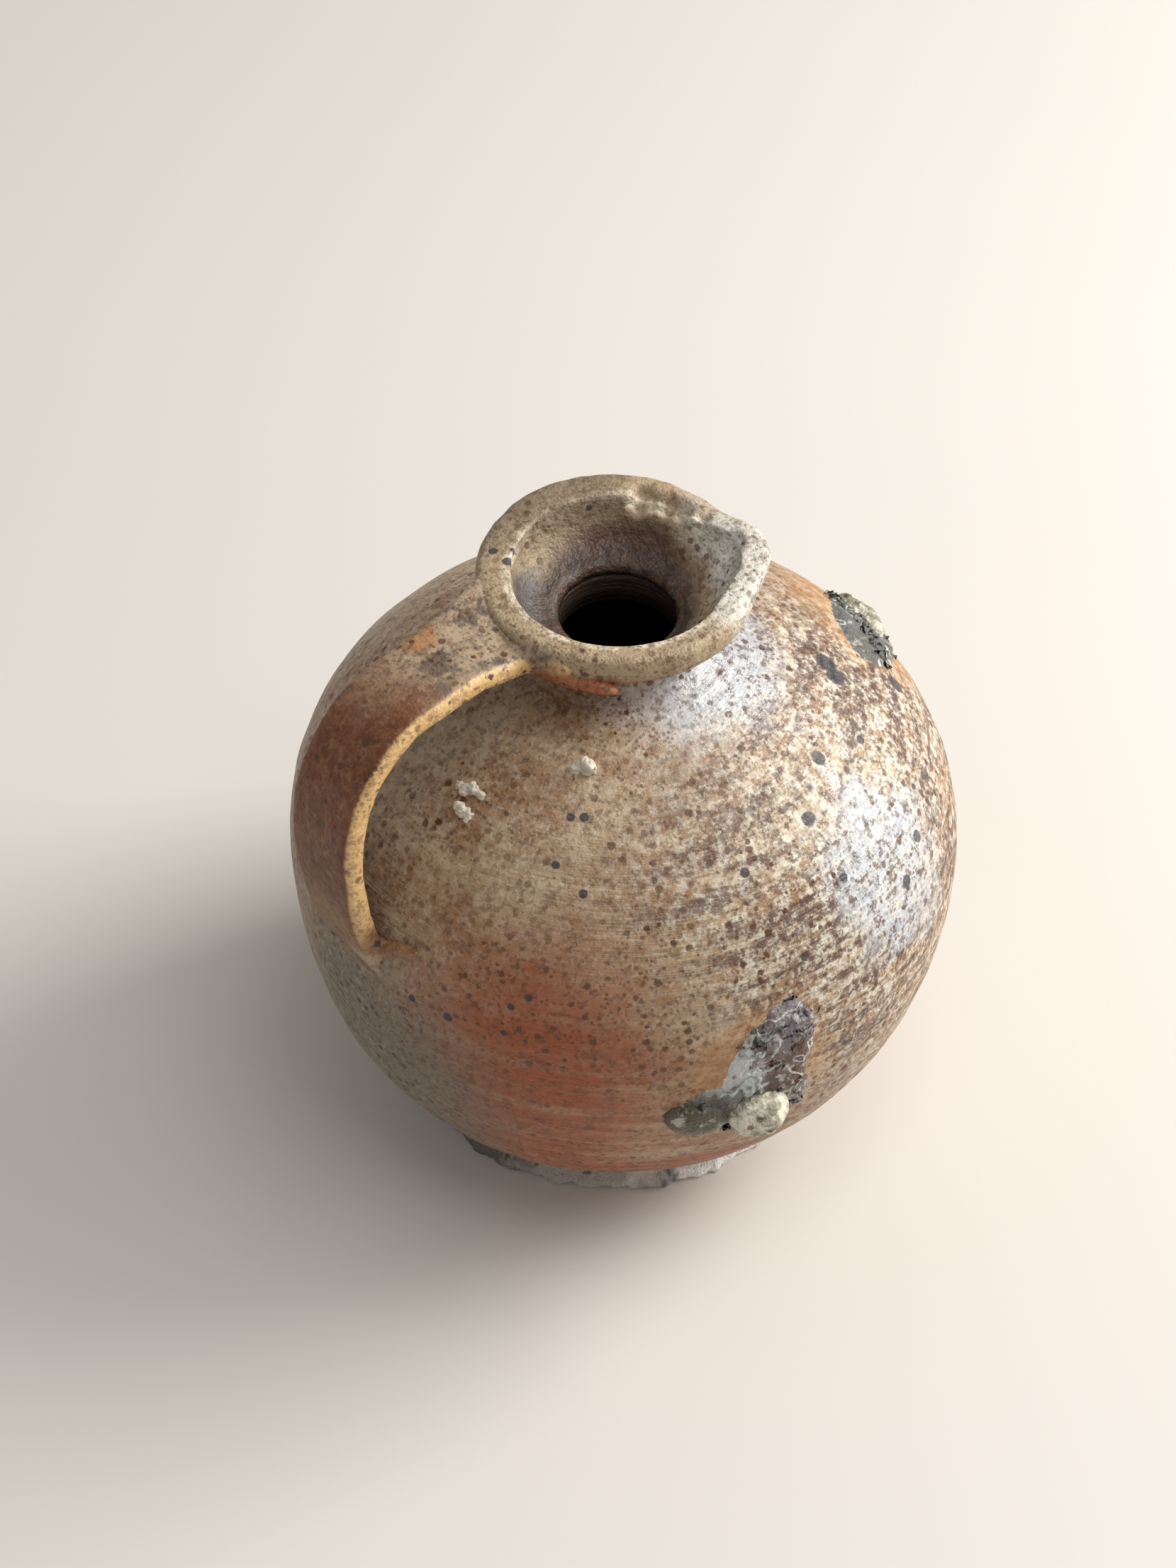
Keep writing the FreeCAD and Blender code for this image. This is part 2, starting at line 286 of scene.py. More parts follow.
def finish_modifiers(piece):
    """Applies every modifier of a piece."""
    only(piece)
    for modifier in list(piece.modifiers):
        bpy.ops.object.modifier_apply(modifier=modifier.name)


def roughen(piece, grain, depth, group="", middle=0.5):
    """Uneven clay: moves the surface in and out by a cloudy pattern of a grain size."""
    clouds = bpy.data.textures.new(f"clay_{grain * 1000:.1f}", type="CLOUDS")
    clouds.noise_scale = grain
    clouds.noise_depth = 2
    only(piece)
    bpy.ops.object.modifier_add(type="DISPLACE")
    uneven = piece.modifiers[-1]
    uneven.texture = clouds
    uneven.texture_coords = "LOCAL"
    uneven.strength = depth
    uneven.mid_level = middle
    uneven.vertex_group = group
    bpy.ops.object.modifier_apply(modifier=uneven.name)


def stand_level(piece):
    """Flattens on to the table whatever hangs below it."""
    pick(piece, lambda co: co.z < 0)
    bpy.ops.transform.resize(value=(1, 1, 0), center_override=(0, 0, 0))
    bpy.ops.object.mode_set(mode="OBJECT")


def fuse(piece, voxel, smooth_steps):
    """Melts joined shapes into one skin and softens it."""
    only(piece)
    bpy.ops.object.modifier_add(type="REMESH")
    melt = piece.modifiers[-1]
    melt.mode = "VOXEL"
    melt.voxel_size = voxel
    bpy.ops.object.modifier_add(type="SMOOTH")
    soften = piece.modifiers[-1]
    soften.factor = 0.5
    soften.iterations = smooth_steps
    finish_modifiers(piece)


def hand_over(piece, nodes, material):
    """Gives a piece its material and its place among the frame's bodies and nodes."""
    only(piece)
    bpy.ops.object.shade_smooth()
    piece.data.materials.clear()
    piece.data.materials.append(material)
    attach(piece, "root")
    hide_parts(*nodes)


# ------------------------------------------------------------------ materials


def add(tree, kind, values=None, **settings):
    """Adds a shader node, sets its settings, then values on its inputs or links into them."""
    node = tree.nodes.new(kind)
    for key, value in settings.items():
        setattr(node, key, value)
    for key, value in (values or {}).items():
        if isinstance(value, bpy.types.NodeSocket):
            tree.links.new(value, node.inputs[key])
        else:
            node.inputs[key].default_value = value
    return node


def maths(tree, operation, first, second=0.0, third=0.0):
    """The result of one sum on two or three values."""
    return add(tree, "ShaderNodeMath", {0: first, 1: second, 2: third}, operation=operation).outputs[0]


def ramp(tree, value, low, high, bottom=0.0, top=1.0):
    """A value eased from bottom at low to top at high."""
    eased = add(
        tree,
        "ShaderNodeMapRange",
        {"Value": value, "From Min": low, "From Max": high, "To Min": bottom, "To Max": top},
        interpolation_type="SMOOTHSTEP",
    )
    return eased.outputs["Result"]


def layer(tree, under, over, mask, blend="MIX"):
    """Lays one colour over another where the mask says."""
    mixed = add(tree, "ShaderNodeMix", data_type="RGBA", blend_type=blend, clamp_factor=True)
    for socket, value in (
        (mixed.inputs[0], mask),
        (mixed.inputs[6], under),
        (mixed.inputs[7], over),
    ):
        if isinstance(value, bpy.types.NodeSocket):
            tree.links.new(value, socket)
        else:
            socket.default_value = (*value, 1) if hasattr(value, "__len__") else value
    return mixed.outputs[2]


def noise_at(tree, place, scale, detail=4.0, rough=0.55):
    """Cloudy noise at a place."""
    cloud = add(
        tree, "ShaderNodeTexNoise", {"Vector": place, "Scale": scale, "Detail": detail, "Roughness": rough}
    )
    return cloud.outputs["Fac"]


def group_of(name, inputs, outputs):
    """A new shader node group with named inputs and outputs; gives the group and its two ends."""
    tree = bpy.data.node_groups.new(name, "ShaderNodeTree")
    for label, kind, value in inputs:
        socket = tree.interface.new_socket(name=label, in_out="INPUT", socket_type=kind)
        socket.default_value = value
    for label, kind in outputs:
        tree.interface.new_socket(name=label, in_out="OUTPUT", socket_type=kind)
    ends = tree.nodes.new("NodeGroupInput").outputs, tree.nodes.new("NodeGroupOutput").inputs
    return tree, *ends


def use(tree, group, **values):
    """Places a node group; its inputs are given by name, with _ for a space."""
    node = add(tree, "ShaderNodeGroup", node_tree=bpy.data.node_groups[group])
    for key, value in values.items():
        socket = node.inputs[key.replace("_", " ")]
        if isinstance(value, bpy.types.NodeSocket):
            tree.links.new(value, socket)
        else:
            socket.default_value = value
    return node.outputs


FLOAT, VECTOR, COLOUR = "NodeSocketFloat", "NodeSocketVector", "NodeSocketColor"


def build_zone_group():
    """A soft-edged patch round a centre, its border wandering."""
    tree, given, out = group_of(
        "clay_zone",
        [
            ("Centre", VECTOR, (0, 0, 0)),
            ("Reach", VECTOR, (0.02, 0.02, 0.02)),
            ("Edge", FLOAT, 0.4),
            ("Wander", FLOAT, 0.6),
            ("Grain", FLOAT, 60.0),
        ],
        [("Mask", FLOAT)],
    )
    place = add(tree, "ShaderNodeTexCoord").outputs["Object"]
    from_centre = add(tree, "ShaderNodeVectorMath", {0: place, 1: given["Centre"]}, operation="SUBTRACT")
    share = add(tree, "ShaderNodeVectorMath", {0: from_centre.outputs[0], 1: given["Reach"]}, operation="DIVIDE")
    far = add(tree, "ShaderNodeVectorMath", {0: share.outputs[0]}, operation="LENGTH").outputs["Value"]
    cloud = maths(tree, "SUBTRACT", noise_at(tree, place, given["Grain"]), 0.5)
    wandering = maths(tree, "MULTIPLY_ADD", cloud, maths(tree, "MULTIPLY", given["Wander"], 2.0), far)
    inner = maths(tree, "SUBTRACT", 1.0, given["Edge"])
    outer = maths(tree, "ADD", 1.0, given["Edge"])
    tree.links.new(ramp(tree, wandering, inner, outer, 1.0, 0.0), out["Mask"])


def build_speck_group():
    """Scattered specks: a share of the cells holds a ragged spot of about one size."""
    tree, given, out = group_of(
        "iron_specks",
        [
            ("Density", FLOAT, 500.0),
            ("Share", FLOAT, 0.3),
            ("Size", FLOAT, 0.3),
            ("Ragged", FLOAT, 0.3),
            ("Offset", VECTOR, (0, 0, 0)),
        ],
        [("Mask", FLOAT)],
    )
    place = add(tree, "ShaderNodeTexCoord").outputs["Object"]
    moved = add(tree, "ShaderNodeVectorMath", {0: place, 1: given["Offset"]}, operation="ADD").outputs[0]
    cells = add(tree, "ShaderNodeTexVoronoi", {"Vector": moved, "Scale": given["Density"]}, feature="F1")
    lots = add(tree, "ShaderNodeSeparateColor", {"Color": cells.outputs["Color"]}).outputs
    chosen = maths(tree, "LESS_THAN", lots[0], given["Share"])
    size = maths(tree, "MULTIPLY", given["Size"], maths(tree, "MULTIPLY_ADD", lots[1], 0.7, 0.4))
    fine = maths(tree, "MULTIPLY", given["Density"], 2.2)
    cloud = maths(tree, "SUBTRACT", noise_at(tree, moved, fine, 3.0), 0.5)
    far = maths(tree, "MULTIPLY_ADD", cloud, given["Ragged"], cells.outputs["Distance"])
    inner = maths(tree, "MULTIPLY", size, 0.6)
    spot = ramp(tree, far, inner, size, 1.0, 0.0)
    tree.links.new(maths(tree, "MULTIPLY", spot, chosen), out["Mask"])


def build_streak_group():
    """Streaks drawn round the pot by the wheel."""
    tree, given, out = group_of(
        "wheel_streaks",
        [
            ("Scale", FLOAT, 40.0),
            ("Stretch", FLOAT, 8.0),
            ("Low", FLOAT, 0.45),
            ("High", FLOAT, 0.65),
            ("Offset", VECTOR, (0, 0, 0)),
        ],
        [("Mask", FLOAT)],
    )
    place = add(tree, "ShaderNodeTexCoord").outputs["Object"]
    moved = add(tree, "ShaderNodeVectorMath", {0: place, 1: given["Offset"]}, operation="ADD").outputs[0]
    stretch = add(tree, "ShaderNodeCombineXYZ", {0: 1.0, 1: 1.0, 2: given["Stretch"]}).outputs[0]
    drawn = add(tree, "ShaderNodeVectorMath", {0: moved, 1: stretch}, operation="MULTIPLY").outputs[0]
    cloud = noise_at(tree, drawn, given["Scale"], 5.0, 0.6)
    tree.links.new(ramp(tree, cloud, given["Low"], given["High"]), out["Mask"])


def build_relief_group():
    """Height of the fired skin: orange peel, grit, pinholes and turning lines."""
    tree, given, out = group_of(
        "fired_relief",
        [("Peel", FLOAT, 0.5), ("Grit", FLOAT, 0.5), ("Lines", FLOAT, 0.4), ("Pinholes", FLOAT, 0.5)],
        [("Height", FLOAT)],
    )
    place = add(tree, "ShaderNodeTexCoord").outputs["Object"]
    peel = maths(tree, "MULTIPLY", noise_at(tree, place, 420.0, 3.0), given["Peel"])
    grit = maths(tree, "MULTIPLY", noise_at(tree, place, 1500.0, 2.0), given["Grit"])
    streaks = use(tree, "wheel_streaks", Scale=26.0, Stretch=22.0, Low=0.3, High=0.7)["Mask"]
    lines = maths(tree, "MULTIPLY", streaks, given["Lines"])
    holes = use(tree, "iron_specks", Density=230.0, Share=0.16, Size=0.14, Ragged=0.1)["Mask"]
    dips = maths(tree, "MULTIPLY", holes, given["Pinholes"])
    total = maths(tree, "ADD", maths(tree, "ADD", peel, grit), lines)
    tree.links.new(maths(tree, "SUBTRACT", total, dips), out["Height"])


def cover(tree, centre, reach, edge=0.35, wander=0.5, grain=60.0):
    """The mask of one clay zone; its reach is in mm."""
    return use(
        tree, "clay_zone", Centre=centre, Reach=Vector(reach) * MM, Edge=edge, Wander=wander, Grain=grain
    )["Mask"]


def build_stoneware_group():
    """The fired surface of the whole jug: clay, flame marks, ash glaze and freckles in one place."""
    paints = bpy.context.scene.jug_colours
    names = ("Putty", "Tan", "Ochre", "Rust", "Slate", "Ash", "Cream", "Iron", "Freckle")
    inputs = [(name, COLOUR, (*getattr(paints, name.lower()), 1)) for name in names]
    tree, given, out = group_of(
        "fired_stoneware",
        inputs + [("Freckling", FLOAT, 1.0)],
        [("Colour", COLOUR), ("Gloss", FLOAT), ("Flush", FLOAT)],
    )
    place = add(tree, "ShaderNodeTexCoord").outputs["Object"]
    mottle = ramp(tree, noise_at(tree, place, 45.0, 6.0, 0.65), 0.36, 0.64)
    skin = layer(tree, given["Putty"], given["Tan"], mottle)
    fire_side = cover(tree, on_wall(-56, 92), (58, 58, 60), 0.5, 0.25, 30.0)
    pale = ramp(tree, noise_at(tree, place, 330.0, 6.0, 0.75), 0.42, 0.6)
    pale = maths(tree, "MULTIPLY", pale, maths(tree, "MULTIPLY_ADD", fire_side, 0.88, 0.14))
    skin = layer(tree, skin, given["Cream"], pale)

    ochre = cover(tree, on_wall(-50, 66), (40, 40, 46), 0.5, 0.5, 30.0)
    toast = ramp(tree, noise_at(tree, place, 150.0, 6.0, 0.7), 0.4, 0.62)
    skin = layer(tree, skin, given["Ochre"], maths(tree, "MULTIPLY", maths(tree, "MULTIPLY", ochre, toast), 0.7))

    rust = cover(tree, on_wall(-147, 58), (32, 34, 44), 0.55, 0.5, 24.0)
    rust_low = cover(tree, on_wall(-128, 26), (36, 34, 24), 0.6, 0.5, 30.0)
    rust_streaks = use(tree, "wheel_streaks", Scale=22.0, Stretch=14.0, Low=0.25, High=0.6)["Mask"]
    flush = maths(tree, "MAXIMUM", rust, maths(tree, "MULTIPLY", rust_low, rust_streaks))
    flush = maths(tree, "MULTIPLY", flush, maths(tree, "MULTIPLY_ADD", rust_streaks, 0.35, 0.6))
    skin = layer(tree, skin, given["Rust"], flush)

    slate = cover(tree, on_wall(-176, 48), (30, 30, 40), 0.5, 0.4, 30.0)
    skin = layer(tree, skin, given["Slate"], maths(tree, "MULTIPLY", slate, 0.85))

    streaks = use(tree, "wheel_streaks", Scale=40.0, Stretch=9.0, Low=0.46, High=0.57)["Mask"]
    shoulder = cover(tree, on_wall(-62, 96), (62, 62, 52), 0.35, 0.4, 30.0)
    grit = ramp(tree, noise_at(tree, place, 480.0, 5.0, 0.7), 0.38, 0.54)
    drawn = maths(tree, "MULTIPLY", maths(tree, "MULTIPLY", streaks, shoulder), grit)
    skin = layer(tree, skin, paint(92, 66, 58), maths(tree, "MULTIPLY", drawn, 0.95))

    ash = cover(tree, on_wall(-72, 97), (17, 17, 20), 0.4, 0.9, 60.0)
    ash_neck = cover(tree, Vector((0.010, -0.020, 0.128)), (22, 16, 8), 0.5, 0.6, 70.0)
    glaze = maths(tree, "MAXIMUM", ash, ash_neck)
    skin = layer(tree, skin, given["Ash"], maths(tree, "MULTIPLY", glaze, 0.8))

    light_grain = ramp(tree, noise_at(tree, place, 520.0, 6.0, 0.75), 0.5, 0.6)
    light_grain = maths(tree, "MULTIPLY", light_grain, maths(tree, "MULTIPLY_ADD", fire_side, 0.5, 0.2))
    light_grain = maths(tree, "MULTIPLY", light_grain, maths(tree, "MULTIPLY_ADD", flush, -0.9, 1.0))
    skin = layer(tree, skin, given["Cream"], light_grain)
    shifted = add(tree, "ShaderNodeVectorMath", {0: place, 1: (0.31, 0.17, 0.23)}, operation="ADD").outputs[0]
    dark_grain = ramp(tree, noise_at(tree, shifted, 430.0, 6.0, 0.75), 0.5, 0.6)
    dark_grain = maths(tree, "MULTIPLY", dark_grain, maths(tree, "MULTIPLY_ADD", fire_side, 0.36, 0.44))
    skin = layer(tree, skin, given["Freckle"], dark_grain)

    fine = use(tree, "iron_specks", Density=900.0, Share=0.6, Size=0.56, Ragged=0.5)["Mask"]
    middle = use(tree, "iron_specks", Density=430.0, Share=0.5, Size=0.46, Ragged=0.5)["Mask"]
    patchy = ramp(tree, noise_at(tree, place, 42.0, 4.0), 0.38, 0.6)
    freckles = maths(tree, "MAXIMUM", maths(tree, "MULTIPLY", fine, 0.6), maths(tree, "MULTIPLY", middle, 0.95))
    freckles = maths(tree, "MULTIPLY", freckles, maths(tree, "MULTIPLY_ADD", patchy, 0.5, 0.5))
    freckles = maths(tree, "MULTIPLY", freckles, given["Freckling"])
    skin = layer(tree, skin, given["Freckle"], freckles)

    spots = use(tree, "iron_specks", Density=120.0, Share=0.3, Size=0.16, Ragged=0.22)["Mask"]
    skin = layer(tree, skin, given["Iron"], maths(tree, "MULTIPLY", spots, 0.85))
    tree.links.new(skin, out["Colour"])
    tree.links.new(glaze, out["Gloss"])
    tree.links.new(flush, out["Flush"])


def new_material(name):
    """An empty node material with its surface shader; gives the material, its tree and the shader."""
    material = bpy.data.materials.new(name)
    material.use_nodes = True
    tree = material.node_tree
    tree.nodes.clear()
    shader = tree.nodes.new("ShaderNodeBsdfPrincipled")
    end = tree.nodes.new("ShaderNodeOutputMaterial")
    tree.links.new(shader.outputs["BSDF"], end.inputs["Surface"])
    return material, tree, shader


def raise_relief(tree, shader, height, strength, distance):
    """Feeds a height into the shader's normal."""
    bump = add(tree, "ShaderNodeBump", {"Strength": strength, "Distance": distance, "Height": height})
    tree.links.new(bump.outputs["Normal"], shader.inputs["Normal"])


def spotted(tree, skin, spots, shade):
    """Lays ragged single spots over the skin: each is a place and a size in mm."""
    for place, size in spots:
        mask = cover(tree, place, (size, size, size), 0.16, 0.35, 420.0)
        skin = layer(tree, skin, shade, maths(tree, "MULTIPLY", mask, 0.9))
    return skin


def wall_material():
    """Thrown wall: the fired surface, named iron spots, the halos round the scars, and painted shade in the throat and
    inside the hollow.
    """
    paints = bpy.context.scene.jug_colours
    material, tree, shader = new_material("salt_glazed_wall")
    fired = use(tree, "fired_stoneware")
    skin = fired["Colour"]
    halo = cover(tree, on_wall(-107, 65), (17, 11, 22), 0.25, 0.5, 120.0)
    skin = layer(tree, skin, paints.ochre, maths(tree, "MULTIPLY", halo, 0.45))
    side_halo = cover(tree, on_wall(-9, 105), (20, 20, 18), 0.35, 0.5, 120.0)
    skin = layer(tree, skin, paints.ochre, maths(tree, "MULTIPLY", side_halo, 0.5))
    spots = [
        (on_wall(-35.6, 118), 2.7),
        (on_wall(-39.5, 117), 2.5),
        (on_wall(-24.6, 108.6), 1.6),
        (on_wall(-30.5, 106), 2.3),
        (on_wall(-69.6, 116), 1.7),
        (on_wall(-83.5, 112), 1.7),
        (on_wall(-63, 96), 1.4),
        (on_wall(-71, 92), 1.5),
        (on_wall(-138.4, 118.2), 1.0),
        (on_wall(-142, 118), 0.9),
        (on_wall(-136.8, 109.4), 0.9),
        (on_wall(-159, 79.4), 1.1),
        (on_wall(-166, 79.6), 0.9),
        (on_wall(-149, 80.6), 0.8),
        (on_wall(-103, 109.7), 1.0),
        (on_wall(-84, 102), 1.2),
        (on_wall(-56, 112.7), 1.1),
        (on_wall(-143.4, 112.5), 0.9),
        (on_wall(-148, 87.5), 0.8),
    ]
    skin = spotted(tree, skin, spots, paints.iron)
    place = add(tree, "ShaderNodeTexCoord").outputs["Object"]
    across = add(tree, "ShaderNodeSeparateXYZ", {0: place}).outputs
    round_axis = add(tree, "ShaderNodeCombineXYZ", {0: across[0], 1: across[1]}).outputs[0]
    radius = add(tree, "ShaderNodeVectorMath", {0: round_axis}, operation="LENGTH").outputs["Value"]
    # Painted shade: the inside of the throat is painted dark brown to stand for the shade down the opening.
    throat = maths(tree, "MULTIPLY", ramp(tree, radius, 16.6 * MM, 17.6 * MM, 1.0, 0.0), ramp(tree, across[2], 0.1, 0.11))
    # Painted shade: the whole inside of the hollow is painted near black.
    hollow = cover(tree, Vector((0, 0, 0.068)), (71.5, 71.5, 56), 0.01, 0.0, 100.0)
    skin = layer(tree, skin, paint(40, 27, 17), maths(tree, "MULTIPLY", throat, 0.96))
    skin = layer(tree, skin, paint(30, 22, 16), hollow)
    tree.links.new(skin, shader.inputs["Base Color"])
    gloss = ramp(tree, fired["Gloss"], 0.0, 1.0, 0.46, 0.22)
    tree.links.new(gloss, shader.inputs["Roughness"])
    relief = use(tree, "fired_relief", Peel=0.5, Grit=0.25, Lines=0.5, Pinholes=0.6)["Height"]
    raise_relief(tree, shader, relief, 0.85, 0.0007)
    return material


def rim_material():
    """Rim: greyer than the wall and brown inside the funnel, with painted shade down the funnel and painted light on
    the crest and on the right of the top.
    """
    paints = bpy.context.scene.jug_colours
    material, tree, shader = new_material("rim_stoneware")
    place = add(tree, "ShaderNodeTexCoord").outputs["Object"]
    # Painted shade in the funnel: its back is brown clay painted much darker, and its left wall is painted dark grey,
    # both standing for shade.
    brown_shaded_funnel_back = cover(tree, Vector((0.009, 0.009, 0.1365)), (17, 17, 7.5), 0.4, 0.2, 90.0)
    left = cover(tree, Vector((-0.016, 0.004, 0.1395)), (10, 14, 6), 0.35, 0.3, 90.0)
    clay = layer(tree, paint(170, 148, 116), paint(62, 27, 3), brown_shaded_funnel_back)
    clay = layer(tree, clay, paint(74, 72, 70), left)
    across = add(tree, "ShaderNodeSeparateXYZ", {0: place}).outputs
    round_axis = add(tree, "ShaderNodeCombineXYZ", {0: across[0], 1: across[1]}).outputs[0]
    radius = add(tree, "ShaderNodeVectorMath", {0: round_axis}, operation="LENGTH").outputs["Value"]
    # Painted highlight: a cream band, broken by noise, along the rim's inner crest.
    from_edge = maths(tree, "ABSOLUTE", maths(tree, "SUBTRACT", radius, 23.2 * MM))
    edge = maths(tree, "MULTIPLY", ramp(tree, from_edge, 0.4 * MM, 1.6 * MM, 1.0, 0.0), ramp(tree, across[2], 0.143, 0.1455))
    painted_crest_highlight = maths(tree, "MULTIPLY", edge, ramp(tree, noise_at(tree, place, 190.0, 5.0, 0.7), 0.4, 0.58))
    clay = layer(tree, clay, paint(226, 212, 186), painted_crest_highlight)
    back_top = cover(tree, Vector((0.004, 0.027, 0.147)), (24, 9, 8), 0.4, 0.6, 90.0)
    clay = layer(tree, clay, paint(122, 106, 84), maths(tree, "MULTIPLY", back_top, 0.8))
    # Painted light: the top of the rim's right side, toward the window, is painted a pale grey-white.
    worn = cover(tree, Vector((0.022, -0.018, 0.146)), (16, 20, 7), 0.4, 0.7, 120.0)
    clay = layer(tree, clay, paint(222, 218, 206), maths(tree, "MULTIPLY", worn, 0.9))
    # Painted shade: the funnel is painted near black towards the throat.
    painted_throat_shade = ramp(tree, radius, 15.4 * MM, 18.5 * MM, 1.0, 0.0)
    clay = layer(tree, clay, paint(48, 32, 20), maths(tree, "MULTIPLY", painted_throat_shade, 0.9))
    light = layer(tree, clay, paint(214, 200, 176), 0.3)
    fired = use(tree, "fired_stoneware", Putty=clay, Tan=clay, Ash=clay, Cream=light, Freckling=0.9)
    under = cover(tree, Vector((-0.019, -0.02, 0.1375)), (16, 12, 3.4), 0.3, 0.4, 140.0)
    under = maths(tree, "MULTIPLY", under, ramp(tree, radius, 20 * MM, 22.5 * MM))
    skin = layer(tree, fired["Colour"], paint(146, 70, 30), maths(tree, "MULTIPLY", under, 0.8))
    spots = [
        (Vector((-0.0164, 0.0164, 0.1465)), 1.3),
        (Vector((-0.0167, 0.0207, 0.1465)), 1.1),
        (Vector((-0.0135, 0.0186, 0.1465)), 0.9),
        (Vector((-0.012, -0.024, 0.1385)), 1.3),
    ]
    skin = spotted(tree, skin, spots, paints.iron)
    tree.links.new(skin, shader.inputs["Base Color"])
    shader.inputs["Roughness"].default_value = 0.48
    relief = use(tree, "fired_relief", Peel=0.8, Grit=0.4, Lines=0.1, Pinholes=0.8)["Height"]
    raise_relief(tree, shader, relief, 0.9, 0.0008)
    return material


def strap_material():
    """Handle: reddish brown on its broad face, with painted light in cream on the side that faces the light."""
    paints = bpy.context.scene.jug_colours
    material, tree, shader = new_material("strap_stoneware")
    place = add(tree, "ShaderNodeTexCoord").outputs["Object"]
    facing = add(tree, "ShaderNodeSeparateXYZ", {0: add(tree, "ShaderNodeNewGeometry").outputs["Normal"]}).outputs
    near_rim = cover(tree, Vector((-0.034, 0.008, 0.143)), (22, 22, 10), 0.5, 0.5, 70.0)
    clay = layer(tree, paint(110, 56, 24), paint(168, 148, 122), near_rim)
    smoke = ramp(tree, noise_at(tree, place, 170.0, 6.0, 0.7), 0.46, 0.6)
    clay = layer(tree, clay, paint(70, 62, 60), maths(tree, "MULTIPLY", maths(tree, "MULTIPLY", smoke, near_rim), 0.85))
    orange = cover(tree, Vector((-0.0445, 0.0105, 0.146)), (4.2, 4, 4), 0.4, 0.9, 200.0)
    clay = layer(tree, clay, paint(170, 106, 44), maths(tree, "MULTIPLY", orange, 0.6))
    olive = cover(tree, Vector((-0.078, 0, 0.09)), (12, 12, 11), 0.5, 0.4, 70.0)
    clay = layer(tree, clay, paint(146, 112, 66), maths(tree, "MULTIPLY", olive, 0.7))
    # Painted light: faces whose normals point toward -Y, the side lit from the window, are painted bright cream.
    side = ramp(tree, maths(tree, "MULTIPLY", facing[1], -1.0), 0.3, 0.75)
    clay = layer(tree, clay, paint(232, 192, 132), maths(tree, "MULTIPLY", side, 0.9))
    web = cover(tree, Vector((-0.021, -0.019, 0.138)), (15, 14, 4.5), 0.4, 0.4, 140.0)
    clay = layer(tree, clay, paint(146, 66, 26), maths(tree, "MULTIPLY", web, 0.85))
    ledge = cover(tree, Vector((-0.073, -0.015, 0.090)), (6, 9, 6), 0.3, 0.3, 160.0)
    clay = layer(tree, clay, paint(156, 118, 82), maths(tree, "MULTIPLY", ledge, 0.95))
    tail = cover(tree, Vector((-0.075, -0.008, 0.083)), (5, 5, 4.5), 0.4, 0.8, 260.0)
    clay = layer(tree, clay, paint(222, 212, 196), maths(tree, "MULTIPLY", tail, 0.8))
    rust = (*paint(132, 62, 32), 1)
    cream = (*paint(186, 150, 108), 1)
    fired = use(tree, "fired_stoneware", Putty=clay, Tan=clay, Rust=rust, Slate=(*paint(140, 104, 66), 1), Cream=cream, Ash=clay)
    tree.links.new(fired["Colour"], shader.inputs["Base Color"])
    shader.inputs["Roughness"].default_value = 0.42
    relief = use(tree, "fired_relief", Peel=0.8, Grit=0.3, Lines=0.1, Pinholes=0.6)["Height"]
    raise_relief(tree, shader, relief, 0.8, 0.0007)
    return material


def foot_material():
    """Foot: bare grey clay with pale chips and a dark crust; the pale frill on the right is white clay brightened with
    painted light.
    """
    paints = bpy.context.scene.jug_colours
    material, tree, shader = new_material("bare_foot_clay")
    place = add(tree, "ShaderNodeTexCoord").outputs["Object"]
    mottle = ramp(tree, noise_at(tree, place, 160.0, 6.0, 0.7), 0.4, 0.62)
    skin = layer(tree, paints.slate, paints.crust, mottle)
    # The pale frill on the right: white clay, brightened further with painted light where the belly's shadow falls.
    pale = cover(tree, Vector((0.016, -0.046, 0.004)), (40, 30, 12), 0.3, 0.9, 190.0)
    skin = layer(tree, skin, paint(255, 252, 246), pale)
    pale_left = cover(tree, Vector((-0.036, -0.036, 0.003)), (17, 17, 8), 0.4, 0.9, 190.0)
    skin = layer(tree, skin, paint(214, 206, 194), maths(tree, "MULTIPLY", pale_left, 0.7))
    dark = use(tree, "iron_specks", Density=260.0, Share=0.4, Size=0.4, Ragged=0.8)["Mask"]
    skin = layer(tree, skin, paints.iron, maths(tree, "MULTIPLY", dark, maths(tree, "MULTIPLY_ADD", pale, -0.5, 0.7)))
    tree.links.new(skin, shader.inputs["Base Color"])
    shader.inputs["Roughness"].default_value = 0.8
    relief = use(tree, "fired_relief", Peel=1.0, Grit=0.8, Lines=0.0, Pinholes=1.0)["Height"]
    raise_relief(tree, shader, relief, 0.9, 0.001)
    return material


